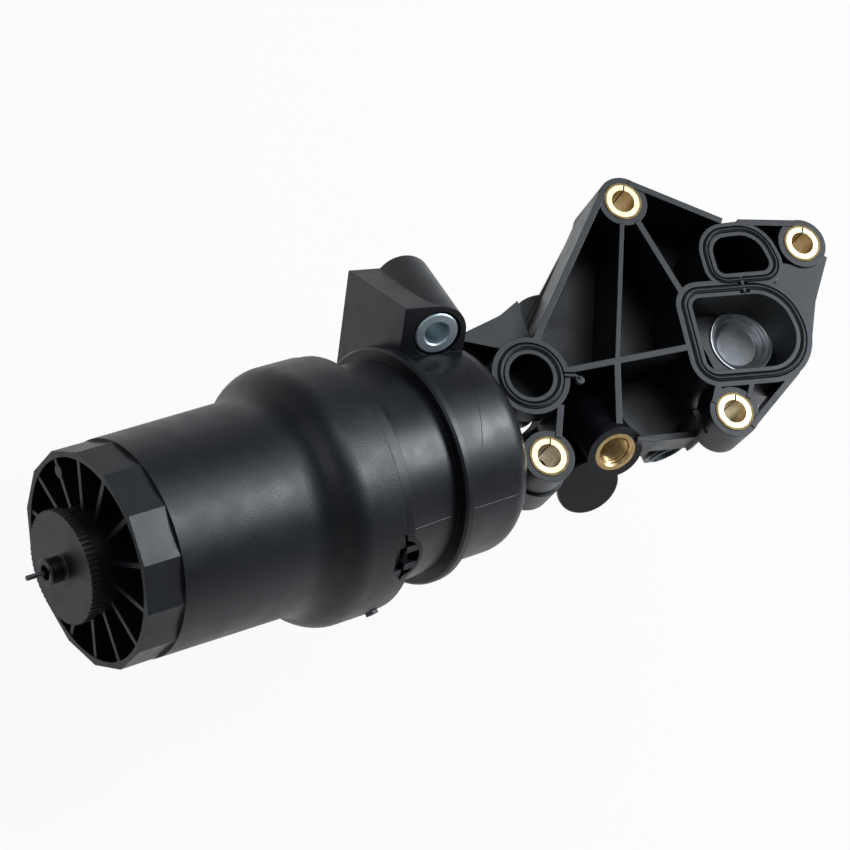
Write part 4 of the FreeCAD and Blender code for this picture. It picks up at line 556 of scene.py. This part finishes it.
# The switch insert's thread, M12 with a pitch of 1.5 mm
SIDE = Vector((-0.17007, -0.78533, 0.59525))
SENSOR_FACE = Vector((20.5, -36.4, -6.3))
THREAD_START = -0.9
THREAD_PITCH = 1.5
THREAD_DEPTH = 0.62
THREAD_ROOT = 5.65
THREAD_TOP = 5.62
THREAD_TURNS = 9.5
THREAD_STEPS = 48
thread_rows = []
for i in range(int(THREAD_TURNS * THREAD_STEPS) + 1):
    turn = 2 * math.pi * i / THREAD_STEPS
    level = THREAD_START - THREAD_PITCH * i / THREAD_STEPS
    fade = min(1.0, i / THREAD_STEPS, THREAD_TURNS - i / THREAD_STEPS)
    crest = THREAD_TOP - THREAD_DEPTH * fade
    profile = ((THREAD_ROOT, THREAD_DEPTH), (crest, 0.1), (crest, -0.1), (THREAD_ROOT, -THREAD_DEPTH))
    thread_rows.append([(r * math.cos(turn), r * math.sin(turn), level + z) for r, z in profile])
sensor_frame = frame_along(SENSOR_FACE, Vector((1.0, 0.0, 0.0)), SIDE)
new_piece("insert_thread", [strip(thread_rows, False, False)], sensor_frame, turned_brass, "housing", 25)


# Steel cup, pressed into the large port's floor: deep drawn in three steps from bright sheet, so its
# corners are round and its skin is smooth, with slow changes of gloss.
CUP_PLACE = (98.2, -10.6)
CUP_TOP = -20.4
CUP_CORNER = 0.7
CUP_OUTSIDE = [(0.0, -7.2), (9.4, -7.2), (9.4, -4.8), (11.3, -4.8), (11.3, -2.4), (13.15, -2.4), (13.15, 0.0)]
CUP_INSIDE = [(12.2, 0.0), (12.2, -1.6), (10.3, -2.3), (10.3, -4.0), (8.4, -4.7), (8.4, -6.2), (0.0, -6.2)]
drawn_steel = worked_metal("steel, deep drawn", linear("e3e6e8"), linear("d0d5d9"), 0.4, 6.0, 0.0)
cup_profile = [(radius, CUP_TOP + height) for radius, height in CUP_OUTSIDE + CUP_INSIDE]
cup = turned(rounded(cup_profile, CUP_CORNER), 96)
cup = ([(x + CUP_PLACE[0], y + CUP_PLACE[1], z) for x, y, z in cup[0]], cup[1])
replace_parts(new_piece("drawn_cup", [cup], flange_frame, drawn_steel, "housing", 40), "port_cup")


# Relief valve cover: a plain round lid of the same black polyamide. Its spigot and rubber ring close
# the side bore, and the relief spring leans on it.
smooth_node("side_cover", body_polyamide)


# Valves inside: a turned aluminium piston, moulded discs on drawn steel seats and an oiled steel pin.
# Springs of hard-drawn wire hold them shut.
dark_steel = worked_metal("steel wire, oiled", linear("6a6c70"), linear("55575b"), 0.4, 0.5, 0.003)
spring_wire = worked_metal("spring steel wire, drawn", linear("a3a4a6"), linear("86878a"), 0.35, 0.3, 0.005)
turned_aluminium = worked_metal("aluminium, turned", linear("b9babd"), linear("a5a6aa"), 0.32, 0.4, 0.008)
inner_polyamide = moulded_polyamide("polyamide 66, moulded", linear("1b1b1d"), linear("232326"), (0.40, 0.50),
                                    0.8, 0.01, 0.2)
smooth_node("relief_piston", turned_aluminium)
smooth_node("drain_pin", dark_steel)
for name in ("bypass_seat", "check_seat"):
    smooth_node(name, drawn_steel)


def wire_spring(radius, wire, length, turns, steps=24, flats=8):
    """A compression spring of round wire that stands on Z = 0."""
    rows = []
    count = turns * steps
    around = [2 * math.pi * (k + 0.5) / flats for k in range(flats)]
    section = [(radius + wire * math.cos(a), wire * math.sin(a)) for a in around]
    for i in range(count + 1):
        turn = 2 * math.pi * i / steps
        level = wire + (length - 2 * wire) * i / count
        rows.append([(r * math.cos(turn), r * math.sin(turn), level + z) for r, z in section])
    points, faces = strip(rows, False, True)
    last = len(points) - flats
    return points, faces + [list(range(flats)), [last + k for k in reversed(range(flats))]]


# The springs, in millimetres: coil radius, wire radius and turns, then foot, axis and length, then
# the body each stands in and the joint and travel of its valve. The last word is the end that stays put.
UP = Vector((0.0, 0.0, 1.0))
ACROSS = Vector((0.0, 1.0, 0.0))
wire_springs = {
    "drain_spring": ((4.2, 0.4, 4), (-176.492, -9.6, 6.558), BOWL_AXIS, 7.989,
                     "plug", "pin_press", 3.0, "far"),
    "bypass_spring": ((5.3, 0.45, 5), (-116.865, -9.6, -6.334), BOWL_AXIS, 18.782,
                      "housing", "bypass_open", 3.0, "far"),
    "relief_spring": ((3.6, 0.5, 9), (22.697, -14.353, -51.091), SIDE, 30.824,
                      "housing", "relief_open", 6.0, "far"),
    "check_spring": ((5.5, 0.4, 5), (28.5, 20.0, -58.92), UP, 10.189,
                     "housing", "check_open", 4.0, "foot"),
}
for name, ((radius, wire, turns), foot, axis, length, body, joint, travel, still) in wire_springs.items():
    foot = Vector(foot)
    piece = new_piece(name + "_wire", [wire_spring(radius, wire, length, turns)],
                      frame_along(foot, ACROSS, axis), spring_wire, body, 60)
    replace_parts(piece, name)
    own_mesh(piece)
for name in ("drain_clip", "bypass_poppet", "check_disc", "standpipe"):
    smooth_node(name, inner_polyamide)


# Filter element: pleated resin-treated cellulose paper between two moulded discs, round a
# perforated core. The fibres are really finer, and are drawn at 0.8 mm so that they show.
paper, tree, shader, place = new_surface("cellulose paper, resin-treated", linear("dcc391"), 0.85, IOR=1.5)
fibres = noise(tree, place, 0.8, 6.0)
tree.links.new(tint(tree, fibres, linear("cdb27c"), linear("e6d2a6")), shader.inputs["Base Color"])
relief(tree, shader, fibres, 0.05, 0)
smooth_node("filter_media", paper, 10)
for name in ("element_cap_disc", "element_body_disc", "element_core"):
    smooth_node(name, inner_polyamide)
